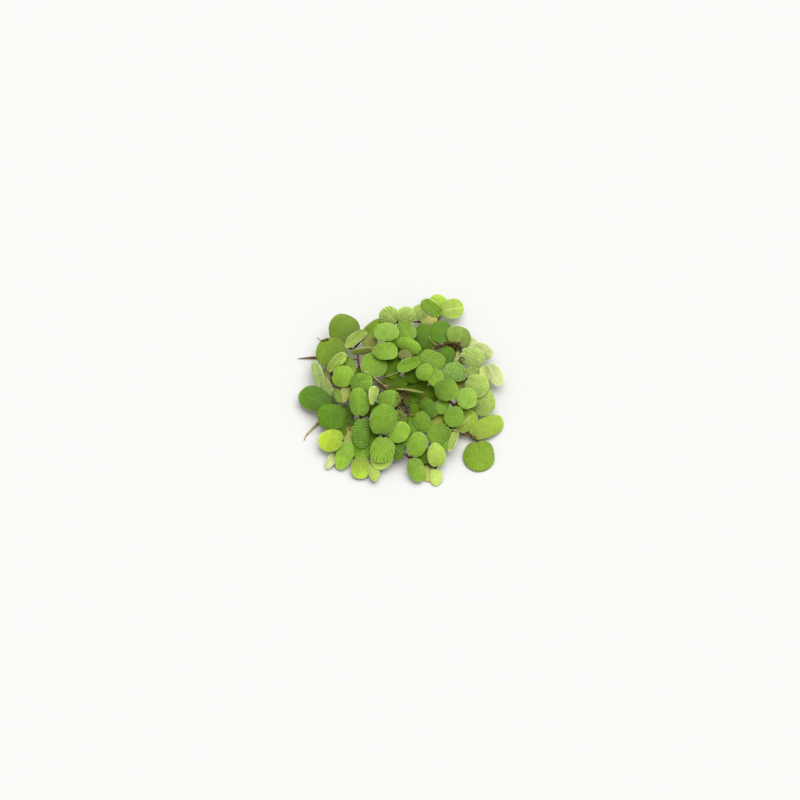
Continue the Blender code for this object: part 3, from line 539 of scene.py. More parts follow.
@dataclass(frozen=True)
class BladeFinish:
    """Living leaf skin: a soft waxy cuticle over green cells, darker between the rows of papillae as painted
    shade, and paler on them, partly pale hairs and partly painted highlight.
    """

    name: str
    face: str
    # The valley colour is painted shade between the rows; the crest colour is partly pale hairs and partly
    # painted highlight
    shaded_valley: str
    crest: str
    # The rim colour is the margin's: pale, partly painted highlight where light catches and shines through
    # the thin margin, and browned on old leaves
    rim: str
    brown: float = 0.0
    stain: float = 0.0
    brown_colour: str = "7A5A34"
    stain_colour: str = "8C8A3C"
    # The hem's white: painted highlight on a lit edge, partly pale hairs
    hem_glint_colour: str = "F2F7D2"
    roughness: float = 0.48
    ior: float = 1.43
    sheen: float = 0.3  # the papillae break up most of the cuticle's shine
    mottle_mm: float = 2.6
    # The dark gaps beside the pale flecks are painted shade, and the flecks partly pale hairs and partly
    # painted highlight
    fleck_mm: float = 1.0  # tufts of hairs, which show as pale flecks with dark gaps
    shaded_gap_share: float = 0.3
    fleck_share: float = 0.25
    shade: tuple[float, float] = (0.86, 1.08)
    cell_mm: float = 0.3  # cells are near 0.05 mm and are drawn coarser so that they show

    def patches(self, tree: bpy.types.NodeTree,
                place: bpy.types.NodeSocket) -> dict[str, bpy.types.NodeSocket]:
        """Args: tree; place, where the skin is. Returns how strong each kind of patch is there."""
        mottle, fleck = (
            add_node(tree, "ShaderNodeTexNoise", {
                "Scale": 1.0 / (size * MM), "Detail": detail, "Vector": place})
            for size, detail in ((self.mottle_mm, 3.0), (self.fleck_mm, 4.0))
        )
        # Each with the noise that it starts at and is full at, and its least and most
        kinds = {
            "stain": (mottle, 0.56, 0.7, 0.0, self.stain),
            # gap lays painted shade, and fleck partly painted highlight
            "shaded_gap": (fleck, 0.47, 0.3, 0.0, self.shaded_gap_share),
            "fleck": (fleck, 0.53, 0.72, 0.0, self.fleck_share),
            "brown": (mottle, 0.45, 0.62, 0.0, self.brown),
            "shade": (mottle, 0.3, 0.7, *self.shade),
        }
        return {
            kind: add_node(tree, "ShaderNodeMapRange", {
                "Value": noise.outputs["Fac"], "From Min": low, "From Max": high,
                "To Min": least, "To Max": most}).outputs["Result"]
            for kind, (noise, low, high, least, most) in kinds.items()
        }

    def material(self) -> bpy.types.Material:
        """Builds the node material. Returns it."""
        material, tree, shader = new_material(self.name)
        place = add_node(tree, "ShaderNodeTexCoord").outputs["Object"]
        face, shaded_valley, crest = linear(self.face), linear(self.shaded_valley), linear(self.crest)
        reads = {
            name: add_node(tree, "ShaderNodeAttribute", attribute_name=name).outputs["Fac"]
            for name in ("row", "spot", "rim", "rib", "hem_glint", "light", "unveiled")
        }
        patch = self.patches(tree, place)
        # The margin colour, with brown patches; its paleness is partly painted highlight
        edge = painted(tree, linear(self.rim), [(patch["brown"], linear(self.brown_colour))])
        # Over the valleys' painted shade go the face, the stains, the flecks and gaps, the papillae, the
        # midrib, the margin and the hem
        colour = painted(tree, shaded_valley, [
            (reads["row"], face), (patch["stain"], linear(self.stain_colour)), (patch["shaded_gap"], shaded_valley),
            (patch["fleck"], crest), (reads["spot"], crest), (reads["rib"], crest), (reads["rim"], edge),
            (reads["hem_glint"], linear(self.hem_glint_colour)),
        ])
        # The light value, times the random mottle, is partly painted light and shade: it lifts leaves lying
        # in shade and grades each blade from base to tip and side to side
        light = add_node(tree, "ShaderNodeMath", {0: patch["shade"], 1: reads["light"]}, operation="MULTIPLY")
        # Saturation comes from the veil, a painted sheen
        bright = add_node(tree, "ShaderNodeHueSaturation", {
            "Saturation": reads["unveiled"], "Value": light.outputs["Value"], "Color": colour})
        cells = add_node(tree, "ShaderNodeTexVoronoi", {"Scale": 1.0 / (self.cell_mm * MM), "Vector": place})
        surfaced(tree, shader, bright.outputs["Color"], cells.outputs["Distance"], (0.25, 0.03), self)
        shader.inputs["Specular IOR Level"].default_value = self.sheen
        let_light_through(shader)
        return material


# Floating fern leaves by age: the young ones are yellow-green and the old ones dull, with brown margins. The
# shaded skin is painted shade, a darker copy for leaves deep in the heap, and the withered skin's paleness is
# partly painted light
BLADE_FINISHES = {
    # The shaded skin is painted shade: a darker copy of the leaf green for leaves deep in the heap
    Tone.SHADED: BladeFinish("leaf_skin_shaded", "50700A", "365206", "72901C", "6C8A20", sheen=0.1),
    Tone.DARK: BladeFinish("leaf_skin_dark", "5C8812", "3E6608", "84AC38", "7E9440", brown=0.7, sheen=0.2),
    Tone.OLD: BladeFinish("leaf_skin_old", "7A9C1A", "547C0C", "9CB64A", "7C7632", brown=0.9, stain=0.5),
    Tone.MID: BladeFinish("leaf_skin_mid", "79A31C", "4A760E", "A8C65C", "A8C45A", sheen=0.25),
    Tone.LIGHT: BladeFinish("leaf_skin_light", "8AB424", "5E8E18", "B8D26C", "B8D46C"),
    Tone.PALE: BladeFinish("leaf_skin_pale", "A1BD46", "6C8C28", "CEDC96", "CEDE96"),
    Tone.BRIGHT: BladeFinish("leaf_skin_bright", "ABCA3A", "86AA20", "CADE74", "D2E68A"),
    Tone.YOUNG: BladeFinish("leaf_skin_young", "BCDA34", "A0C020", "D4EA74", "D8EA80"),
    Tone.PALEST: BladeFinish("leaf_skin_palest", "D4E28C", "A8BE58", "E8EEBC", "EAF2C0"),
    Tone.FADED: BladeFinish("leaf_skin_faded", "929E46", "747E32", "AEB26C", "BCC07C", brown=0.4),
    Tone.TAN: BladeFinish("leaf_skin_tan", "B8C25C", "9C9450", "D6CC94", "D2BE8C", brown=0.5, stain=0.6),
    # The withered skin is partly painted light: pale where the floor between the leaves shows lit
    Tone.WITHERED: BladeFinish("leaf_skin_withered_lit", "B0BA6A", "8E9850", "D0D69C", "BCB884", sheen=0.2,
                               stain=0.5),
}


@dataclass(frozen=True)
class UndersideFinish:
    """Leaf underside: paler, with a nap of short brownish hairs that dulls it."""

    name: str = "leaf_underside"
    face: str = "9DB15E"
    stain: str = "8A7A48"
    roughness: float = 0.8
    ior: float = 1.43
    nap_mm: float = 0.4  # hairs are near 0.03 mm wide and are drawn coarser so that they show

    def material(self) -> bpy.types.Material:
        """Builds the node material. Returns it."""
        material, tree, shader = new_material(self.name)
        place = add_node(tree, "ShaderNodeTexCoord").outputs["Object"]
        nap = add_node(tree, "ShaderNodeTexNoise", {
            "Scale": 1.0 / (self.nap_mm * MM), "Detail": 4.0, "Vector": place}).outputs["Fac"]
        patch = add_node(tree, "ShaderNodeMapRange", {
            "Value": nap, "From Min": 0.5, "From Max": 0.75, "To Max": 0.8})
        colour = painted(tree, linear(self.face), [(patch.outputs["Result"], linear(self.stain))])
        surfaced(tree, shader, colour, nap, (0.5, 0.08), self)
        let_light_through(shader)
        return material


@dataclass(frozen=True)
class FibreFinish:
    """Stem or root skin: matte plant fibre, streaked and knotted."""

    name: str
    face: str
    dark: str
    pale: str
    roughness: float = 0.72
    ior: float = 1.45
    streak_mm: float = 0.7

    def material(self) -> bpy.types.Material:
        """Builds the node material. Returns it."""
        material, tree, shader = new_material(self.name)
        place = add_node(tree, "ShaderNodeTexCoord").outputs["Object"]
        broad, fine = (
            add_node(tree, "ShaderNodeTexNoise", {
                "Scale": 1.0 / (size * self.streak_mm * MM), "Detail": detail,
                "Vector": place}).outputs["Fac"]
            for size, detail in ((4.0, 2.0), (1.0, 4.0))
        )
        dark, pale = (
            add_node(tree, "ShaderNodeMapRange", {"Value": noise, "From Min": low, "From Max": high})
            for noise, low, high in ((fine, 0.42, 0.62), (broad, 0.52, 0.66))
        )
        colour = painted(tree, linear(self.face), [
            (dark.outputs["Result"], linear(self.dark)), (pale.outputs["Result"], linear(self.pale))])
        surfaced(tree, shader, colour, fine, (0.5, 0.1), self)
        return material


STEM_FINISH = FibreFinish("stem_fibre", "7A5630", "4A2E18", "94854A")
HAIR_FINISH = FibreFinish("stem_hair", "8A6A42", "5E4224", "B09A6A")
ROOT_FINISH = FibreFinish("root_fibre", "8C6A3E", "5C3E20", "B39B62")
PALE_STEM_FINISH = FibreFinish("young_stem", "B4B468", "8E8A44", "D4D69A")
PALE_ROOT_FINISH = FibreFinish("root_fibre_pale", "C0AC66", "9A7E44", "D6CA92")


@dataclass
class Shape:
    """Points in millimetres with faces, material numbers and named point values."""

    points: np.ndarray
    faces: list
    slots: Optional[np.ndarray] = None
    values: dict[str, np.ndarray] = field(default_factory=dict)

    def tree(self) -> BVHTree:
        """Returns a search tree over the faces."""
        return BVHTree.FromPolygons([Vector(p) for p in self.points], self.faces)

    def piece(self, name: str, materials: Sequence[bpy.types.Material]) -> bpy.types.Object:
        """Makes a shown object. Args: its name and materials. Returns the object, riding on the root body."""
        mesh = bpy.data.meshes.new(name)
        mesh.from_pydata((self.points * MM).tolist(), [], self.faces)
        for material in materials:
            mesh.materials.append(material)
        if self.slots is not None:
            mesh.polygons.foreach_set("material_index", self.slots.astype(np.int32))
        mesh.polygons.foreach_set("use_smooth", np.ones(len(mesh.polygons), bool))
        for key, value in self.values.items():
            layer = mesh.attributes.new(key, "FLOAT", "POINT")
            layer.data.foreach_set("value", value.astype(np.float32))
        mesh.update()
        obj = bpy.data.objects.new(name, mesh)
        bpy.context.scene.collection.objects.link(obj)
        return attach(obj, "root")


def merged(shapes: Iterable[Shape]) -> Shape:
    """Args: shapes with the same point values. Returns them as one shape."""
    shapes = list(shapes)
    points, faces, slots, start = [], [], [], 0
    for shape in shapes:
        points.append(shape.points)
        faces.extend([tuple(i + start for i in face) for face in shape.faces])
        slots.append(np.zeros(len(shape.faces)) if shape.slots is None else shape.slots)
        start += len(shape.points)
    keys = shapes[0].values.keys()
    values = {k: np.concatenate([s.values[k] for s in shapes]) for k in keys}
    return Shape(np.concatenate(points), faces, np.concatenate(slots), values)


class Heap:
    """The low dome that carries the leaves, seen from the photograph's camera."""

    @staticmethod
    def sight_point(px: float, py: float, height: float) -> Vector:
        """Args: a pixel and a height in millimetres. Returns the point that shows there."""
        across = (px - MIDDLE_PX[0]) * MM_PER_PX
        up = (MIDDLE_PX[1] - py) * MM_PER_PX
        return Vector((across, (up - height * LOOK_ACROSS) / LOOK_UP, height))

    @staticmethod
    def surface(x: float, y: float) -> float:
        """Args: a place on the ground. Returns the heap's height over it."""
        out = math.hypot(x, y - HEAP_MIDDLE_Y) / HEAP_RADIUS
        return HEAP_HEIGHT * max(0.0, 1.0 - out * out) ** HEAP_ROUNDNESS

    @classmethod
    def point(cls, px: float, py: float, sunk: float, lowest: float) -> Vector:
        """Args: a pixel, a depth and the least height. Returns the sight line's first point that deep."""
        height = HEAP_HEIGHT
        while height > lowest:
            point = cls.sight_point(px, py, height)
            if cls.surface(point.x, point.y) - sunk >= height:
                break
            height -= HEIGHT_STEP
        return cls.sight_point(px, py, max(height, lowest))


@dataclass
class Blade:
    """One leaf blade in its place."""

    leaf: Leaf
    offset: Vector = field(default_factory=Vector)
    phase: float = 0.0

    def __post_init__(self) -> None:
        """Works out the blade's frame from its base and tip."""
        leaf = self.leaf
        base = Heap.point(*leaf.base_px, leaf.sunk, LEAF_LOWEST)
        tip = Heap.sight_point(*leaf.tip_px, max(base.z + leaf.rise, LEAF_LOWEST))
        along = (tip - base).normalized()
        normal = (LEAF_FACING - along * LEAF_FACING.dot(along)).normalized()
        turn = Matrix.Rotation(math.radians(leaf.roll), 3, along)
        self.base = base
        self.length = (tip - base).length
        self.axes = Matrix((turn @ along.cross(normal), along, turn @ normal)).transposed()
        by_x, by_y, spread = PHASE_DRAW
        self.phase = math.modf(math.sin(base.x * by_x + base.y * by_y) * spread)[0] * math.tau

    def placed(self, local: np.ndarray) -> np.ndarray:
        """Args: points in the blade's own frame. Returns them in the clump's frame."""
        return local @ np.array(self.axes).T + np.array(self.base + self.offset)

    @staticmethod
    def disc(a: np.ndarray, b: np.ndarray) -> tuple[np.ndarray, np.ndarray]:
        """Args: places on the unit square. Returns places on a rounded disc, along and across."""
        x = np.sign(a) * np.abs(a * np.sqrt(1.0 - b * b / 2.0)) ** SQUARENESS
        y = np.sign(b) * np.abs(b * np.sqrt(1.0 - a * a / 2.0)) ** SQUARENESS
        return x, y

    def solid_middle(self) -> Vector:
        """Returns the middle of the box that the unlifted solid has."""
        a, b = np.meshgrid(np.linspace(-1, 1, SOLID_ROWS + 1), np.linspace(-1, 1, SOLID_COLUMNS + 1))
        x, y = self.disc(a.ravel(), b.ravel())
        notch = SOLID_NOTCH * np.exp(-((y / SOLID_NOTCH_WIDTH) ** 2)) * (1.0 - x) / 2.0
        half = self.leaf.width / 2.0
        power = 1.1 if abs(self.leaf.cup) > FOLD_FROM else 2.0
        rise = math.tan(math.radians(self.leaf.cup)) * half * np.abs(y) ** power
        along = self.length * ((x + 1) / 2 + notch)
        local = np.stack([y * half, along, rise - DROOP * self.length * x * x], 1)
        points = local @ np.array(self.axes).T + np.array(self.base)
        return Vector((points.min(0) + points.max(0)) / 2.0)

    def outline(self, x: np.ndarray, y: np.ndarray) -> tuple[np.ndarray, np.ndarray]:
        """Args: places on the disc. Returns them in millimetres on the leaf's outline, across and along."""
        leaf = self.leaf
        turn = np.arctan2(y, x)
        out = np.hypot(x, y)
        waves = sum(size * np.sin(lobes * turn + late * self.phase) for size, lobes, late in UNEVEN_WAVES)
        uneven = 1.0 + UNEVEN * out**3 * waves
        narrow = (1.0 + leaf.egg * x) * (1.0 - 0.5 * leaf.point * np.clip(x, 0.0, 1.0) ** 2)
        notch = NOTCH * np.exp(-((y / NOTCH_WIDTH) ** 2)) * (1.0 - x) / 2.0
        return y * uneven * narrow * leaf.width / 2.0, self.length * ((x * uneven + 1.0) / 2.0 + notch)

    def rows(self, across: np.ndarray, along: np.ndarray) -> tuple[np.ndarray, np.ndarray]:
        """Args: places in millimetres. Returns how many rows and how many papillae lie before each."""
        leaf = self.leaf
        pitch = leaf.relief.value[2]
        reach = np.abs(across)
        if leaf.fan:
            behind = along + FAN_START * self.length
            rows = np.arctan2(reach, behind) * (0.5 + FAN_START) * self.length / pitch
            return rows, np.hypot(reach, behind) / PAPILLA_PITCH
        angle = math.radians(leaf.rows)
        sway = np.sin(SWAY_WAVES[0] * reach + SWAY_WAVES[1] * along + self.phase)
        bend = ROW_BEND * reach * reach + ROW_SWAY * sway
        rows = (along * math.sin(angle) - reach * math.cos(angle) - bend) / pitch
        return rows, (along * math.cos(angle) + reach * math.sin(angle)) / PAPILLA_PITCH

    def surface(self, a: np.ndarray, b: np.ndarray, side: int) -> tuple[np.ndarray, dict[str, np.ndarray]]:
        """Works out one skin of the blade.

        Args: a and b, places on the unit square; side, 1 for the upper skin and -1 for the lower.
        Returns points in the blade's frame and the values rib, rim, hem, row, spot, light and fresh.
        """
        leaf = self.leaf
        half = leaf.width / 2.0
        x, y = self.disc(a, b)
        edge = np.maximum(np.abs(a), np.abs(b))
        across, along = self.outline(x, y)
        fold = abs(leaf.cup) > FOLD_FROM
        spread = np.sqrt(y * y + 0.01) - 0.1 if fold else y * y
        height = math.tan(math.radians(leaf.cup)) * half * spread - DROOP * self.length * x * x
        turn = np.arctan2(y, x)
        height += WAVE * edge**4 * np.sin(3.0 * turn + self.phase) * min(1.0, half / 5.0)
        rib = np.exp(-((across / RIB_WIDTH) ** 2)) * np.clip((RIB_END - x) / RIB_FADE, 0.0, 1.0)
        # rim fades in the margin colour, whose paleness is partly painted highlight
        to_rim = (1.0 - edge) * min(half, self.length / 2.0)
        rim = np.clip(1.0 - to_rim / RIM_WIDTH, 0.0, 1.0) ** RIM_POWER
        body = THICKNESS / 2.0 * (1.0 - RIM_THIN * edge**8)
        row, papilla = self.rows(across, along)
        ridge = (0.5 + 0.5 * np.cos(math.tau * row)) ** RIDGE_POWER
        papilla = papilla + 0.5 * np.round(row)
        bead = (0.5 + 0.5 * np.cos(math.tau * papilla)) ** BEAD_POWER
        by_row, by_bead, spread = BEAD_DRAW
        number = by_row * np.round(row) + by_bead * np.round(papilla) + self.phase + np.sign(across)
        draw = np.sin(number) * spread
        bead *= BEAD_LEAST + BEAD_RANGE * (draw - np.floor(draw))
        tall, share, _, dark, pale = leaf.relief.value
        teeth = TEETH * pale * edge**10 * (ridge - 0.5) / np.maximum(np.hypot(x, y), 0.3)
        across += teeth * y
        along += teeth * x
        off = (np.degrees(turn) - leaf.glint_at + 180.0) % 360.0 - 180.0
        values = {
            "rib": rib * leaf.rib,
            "rim": rim * leaf.rim,
            # A painted highlight that whitens the margin round one side, partly pale hairs
            "hem_glint": rim * leaf.hem_glint * np.exp(-((off / GLINT_SPREAD) ** 2)),
            "row": np.ones_like(a),
            "spot": np.zeros_like(a),
            # Painted light and shade: each leaf's brightness, raised where it lies in shade and graded across
            # the blade
            "light": leaf.light * np.exp(leaf.slope[0] * x + leaf.slope[1] * y),
            # The veil is a painted sheen that takes colour out
            "unveiled": np.full_like(a, 1.0 - leaf.sheen_veil),
        }
        if side < 0:
            height -= body + RIB_KEEL * rib
            return np.stack([across, along, height], 1), values
        off_rib = 1.0 - np.exp(-((across / (RIB_CLEAR * RIB_WIDTH)) ** 2))
        bare = np.clip((np.hypot(x, y) - leaf.bare) / BARE_FADE + 0.5, BARE_LEAST, 1.0)
        over, up = PATCH_WAVES
        waves = np.sin(over * across + self.phase) * np.sin(up * along + 2.0 * self.phase)
        patchy = 1.0 - PATCHY + PATCHY * waves
        fade = off_rib * (1.0 - EDGE_FADE * edge**14) * bare * patchy
        height += body + tall * fade * ridge * (share + (1.0 - share) * bead) - RIB_GROOVE * rib
        # row lays the valley colour between the ridges as painted shade; spot lays the crest colour on the
        # papillae, partly pale hairs and partly painted highlight
        values["row"] = 1.0 - dark * fade * (1.0 - ridge)
        values["spot"] = pale * fade * ridge * (SPOT_LEAST + (1.0 - SPOT_LEAST) * bead)
        return np.stack([across, along, height], 1), values

    def shape(self, step: float) -> Shape:
        """Builds the closed blade. Args: step, the grid's spacing in millimetres. Returns the shape."""
        rows = 2 * max(3, round(self.length / step / 2.0))
        columns = 2 * max(3, round(self.leaf.width / step / 2.0))
        skins, values, starts, start = [], [], [], 0
        for side, part in ((1, 1), (-1, 2)):
            a, b = np.meshgrid(np.linspace(-1, 1, rows // part + 1), np.linspace(-1, 1, columns // part + 1),
                               indexing="ij")
            points, found = self.surface(a.ravel(), b.ravel(), side)
            skins.append(points)
            values.append(found)
            starts.append(start)
            start += len(points)
        upper = np.arange((rows + 1) * (columns + 1)).reshape(rows + 1, columns + 1)
        lower = (starts[1] + np.arange(len(skins[1]))).reshape(rows // 2 + 1, columns // 2 + 1)
        top = np.stack([upper[:-1, :-1], upper[:-1, 1:], upper[1:, 1:], upper[1:, :-1]], -1).reshape(-1, 4)
        under = np.stack([lower[:-1, :-1], lower[1:, :-1], lower[1:, 1:], lower[:-1, 1:]], -1).reshape(-1, 4)
        fine, coarse = self.loop(upper), self.loop(lower)
        rim = []
        for k in range(len(coarse)):
            t0, t1, t2 = fine[2 * k], fine[2 * k + 1], fine[(2 * k + 2) % len(fine)]
            b0, b1 = coarse[k], coarse[(k + 1) % len(coarse)]
            rim += [(t1, t0, b0), (t1, b0, b1), (t2, t1, b1)]
        slots = np.concatenate([np.zeros(len(top)), np.ones(len(under)), np.zeros(len(rim))])
        return Shape(
            self.placed(np.concatenate(skins)),
            top.tolist() + under.tolist() + rim,
            slots,
            {k: np.concatenate([v[k] for v in values]) for k in values[0]},
        )

    @staticmethod
    def loop(grid: np.ndarray) -> list[int]:
        """Args: grid of point numbers. Returns the numbers round its border."""
        return np.concatenate([grid[0, :-1], grid[:-1, -1], grid[-1, :0:-1], grid[:0:-1, 0]]).tolist()

    def foot(self) -> Vector:
        """Returns the point just under the notch, where the stalk ends."""
        local = np.array([[0.0, self.length * (NOTCH + 0.01), -THICKNESS / 2.0 - DROOP * self.length]])
        return Vector(self.placed(local)[0])


@dataclass
class Foliage:
    """All blades, placed one behind the other as the photograph shows them."""

    nodes: Iterable[str]
    leaves: tuple[Leaf, ...] = LEAVES
    near_mm: float = 14.0
    blades: list[Blade] = field(default_factory=list)
    shift: Vector = field(default_factory=Vector)
    shells: dict[str, Shape] = field(default_factory=dict)

    def place(self) -> None:
        """Reads the solids' places, then settles the other leaves between them."""
        self.blades = [Blade(leaf) for leaf in self.leaves]
        solids = [blade for blade in self.blades if "leaf_" + blade.leaf.name in self.nodes]
        found = {}
        for blade in solids:
            low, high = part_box("leaf_" + blade.leaf.name)
            found[blade.leaf.name] = (low + high) / 2.0 / MM - blade.solid_middle()
        lifts = sorted(found.values(), key=lambda move: move.dot(TOWARDS_CAMERA))[: len(found) // 3]
        self.shift = Vector([float(np.median([move[k] for move in lifts])) for k in range(3)])
        LOG.info("clump shift %s mm", tuple(round(c, 2) for c in self.shift))
        for blade in solids:
            lift = (found[blade.leaf.name] - self.shift).dot(TOWARDS_CAMERA)
            blade.offset = self.shift + TOWARDS_CAMERA * lift
        self.shells = {b.leaf.name: b.shape(SEARCH_STEP) for b in solids}
        shells = self.shells
        for number, blade in enumerate(self.blades):
            if blade.leaf.name not in shells:
                blade.offset = self.shift.copy()
                before = [shells[b.leaf.name] for b in self.blades[:number] if b.leaf.name in shells]
                after = [shells[b.leaf.name] for b in self.blades[number + 1 :] if b.leaf.name in shells]
                shell = blade.shape(SEARCH_STEP)
                slide = self.slide(shell, self.close_to(shell, before), self.close_to(shell, after))
                blade.offset += TOWARDS_CAMERA * slide
                shells[blade.leaf.name] = blade.shape(SEARCH_STEP)
                LOG.info("settled %s by %.2f mm, lowest %.2f", blade.leaf.name, slide,
                         shells[blade.leaf.name].points[:, 2].min())

    def close_to(self, shell: Shape, others: list[Shape]) -> Optional[Shape]:
        """Args: a shell and others. Returns the others that are near it in the picture, as one."""
        middle = shell.points.mean(0)
        ahead = np.array(TOWARDS_CAMERA)
        near = []
        for other in others:
            away = other.points.mean(0) - middle
            if np.linalg.norm(away - ahead * (away @ ahead)) < self.near_mm:
                near.append(other)
        return merged(near) if near else None

    @staticmethod
    def slide(shell: Shape, before: Optional[Shape], after: Optional[Shape]) -> float:
        """Finds how far a blade slides along the sight line.

        Args: shell, the blade; before, what it covers; after, what covers it.
        Returns the move towards the camera in millimetres.
        """
        tree = shell.tree()
        least, most = -shell.points[:, 2].min() / TOWARDS_CAMERA.z + 0.2, FAR
        for other, front in ((before, True), (after, False)):
            if other is None:
                continue
            sight = TOWARDS_CAMERA if front else -TOWARDS_CAMERA
            limits = []
            other_tree = other.tree()
            for point in map(Vector, shell.points):
                hit = other_tree.ray_cast(point + sight * FAR, -sight)[0]
                if hit is not None:
                    limits.append((hit - point).dot(TOWARDS_CAMERA))
            for point in map(Vector, other.points):
                hit = tree.ray_cast(point - sight * FAR, sight)[0]
                if hit is not None:
                    limits.append((point - hit).dot(TOWARDS_CAMERA))
            if limits and front:
                least = max(least, max(limits) + GAP)
            elif limits:
                most = min(limits) - GAP
        return min(max(0.0, least), most) if most > -shell.points[:, 2].min() / TOWARDS_CAMERA.z else least

    def build(self) -> None:
        """Builds every blade and gives it its finish."""
        finishes = {tone: finish.material() for tone, finish in BLADE_FINISHES.items()}
        underside = UndersideFinish().material()
        total = 0
        for blade in self.blades:
            leaf = blade.leaf
            shape = blade.shape(leaf.step)
            piece = shape.piece("blade_" + leaf.name, [finishes[leaf.tone], underside])
            if "leaf_" + leaf.name in self.nodes:
                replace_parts(piece, "leaf_" + leaf.name)
            total += sum(len(face) - 2 for face in shape.faces)
            LOG.info("blade %s: %d faces", leaf.name, len(shape.faces))
        LOG.info("blades: %d, %d triangles", len(self.blades), total)


def smooth_line(points: Sequence[Vector], spacing: float) -> np.ndarray:
    """Args: points to pass through and a spacing. Returns evenly spaced points on a smooth curve."""
    ends = [2.0 * points[0] - points[1], *points, 2.0 * points[-1] - points[-2]]
    fine = [np.array(points[0])]
    for k in range(1, len(ends) - 2):
        p0, p1, p2, p3 = (np.array(p) for p in ends[k - 1 : k + 3])
        for i in range(1, 13):
            t = i / 12.0
            fine.append(0.5 * (2 * p1 + (p2 - p0) * t + (2 * p0 - 5 * p1 + 4 * p2 - p3) * t**2
                               + (3 * p1 - p0 - 3 * p2 + p3) * t**3))
    fine = np.array(fine)
    lengths = np.concatenate([[0.0], np.cumsum(np.linalg.norm(np.diff(fine, axis=0), axis=1))])
    wanted = np.linspace(0.0, lengths[-1], max(3, round(lengths[-1] / spacing)) + 1)
    return np.stack([np.interp(wanted, lengths, fine[:, k]) for k in range(3)], 1)


def tube(line: np.ndarray, radii: np.ndarray, sides: int) -> Shape:
    """Builds a closed tube. Args: its centre line, a radius for each point and its sides. Returns it."""
    ahead = np.gradient(line, axis=0)
    ahead /= np.linalg.norm(ahead, axis=1)[:, None]
    side = np.cross(ahead[0], [0.3, 0.2, 0.93])
    sides_of = []
    for direction in ahead:
        side = side - direction * (side @ direction)
        side /= np.linalg.norm(side)
        sides_of.append(side)
    first = np.array(sides_of)
    second = np.cross(ahead, first)
    turns = np.arange(sides) * math.tau / sides
    ring = first[:, None] * np.cos(turns)[None, :, None] + second[:, None] * np.sin(turns)[None, :, None]
    points = (line[:, None] + ring * np.asarray(radii)[:, None, None]).reshape(-1, 3)
    here = np.arange(len(line) * sides).reshape(len(line), sides)
    after = np.roll(here, -1, axis=1)
    faces = np.stack([here[:-1], after[:-1], after[1:], here[1:]], -1).reshape(-1, 4).tolist()
    start, end = len(points), len(points) + 1
    faces += [(start, after[0, k], here[0, k]) for k in range(sides)]
    faces += [(end, here[-1, k], after[-1, k]) for k in range(sides)]
    return Shape(np.concatenate([points, line[:1], line[-1:]]), faces)


def nearest_on(line: np.ndarray, point: np.ndarray) -> tuple[float, int]:
    """Args: a line and a point. Returns the distance to its nearest point and that point's number."""
    away = np.linalg.norm(line - point, axis=1)
    return float(away.min()), int(away.argmin())


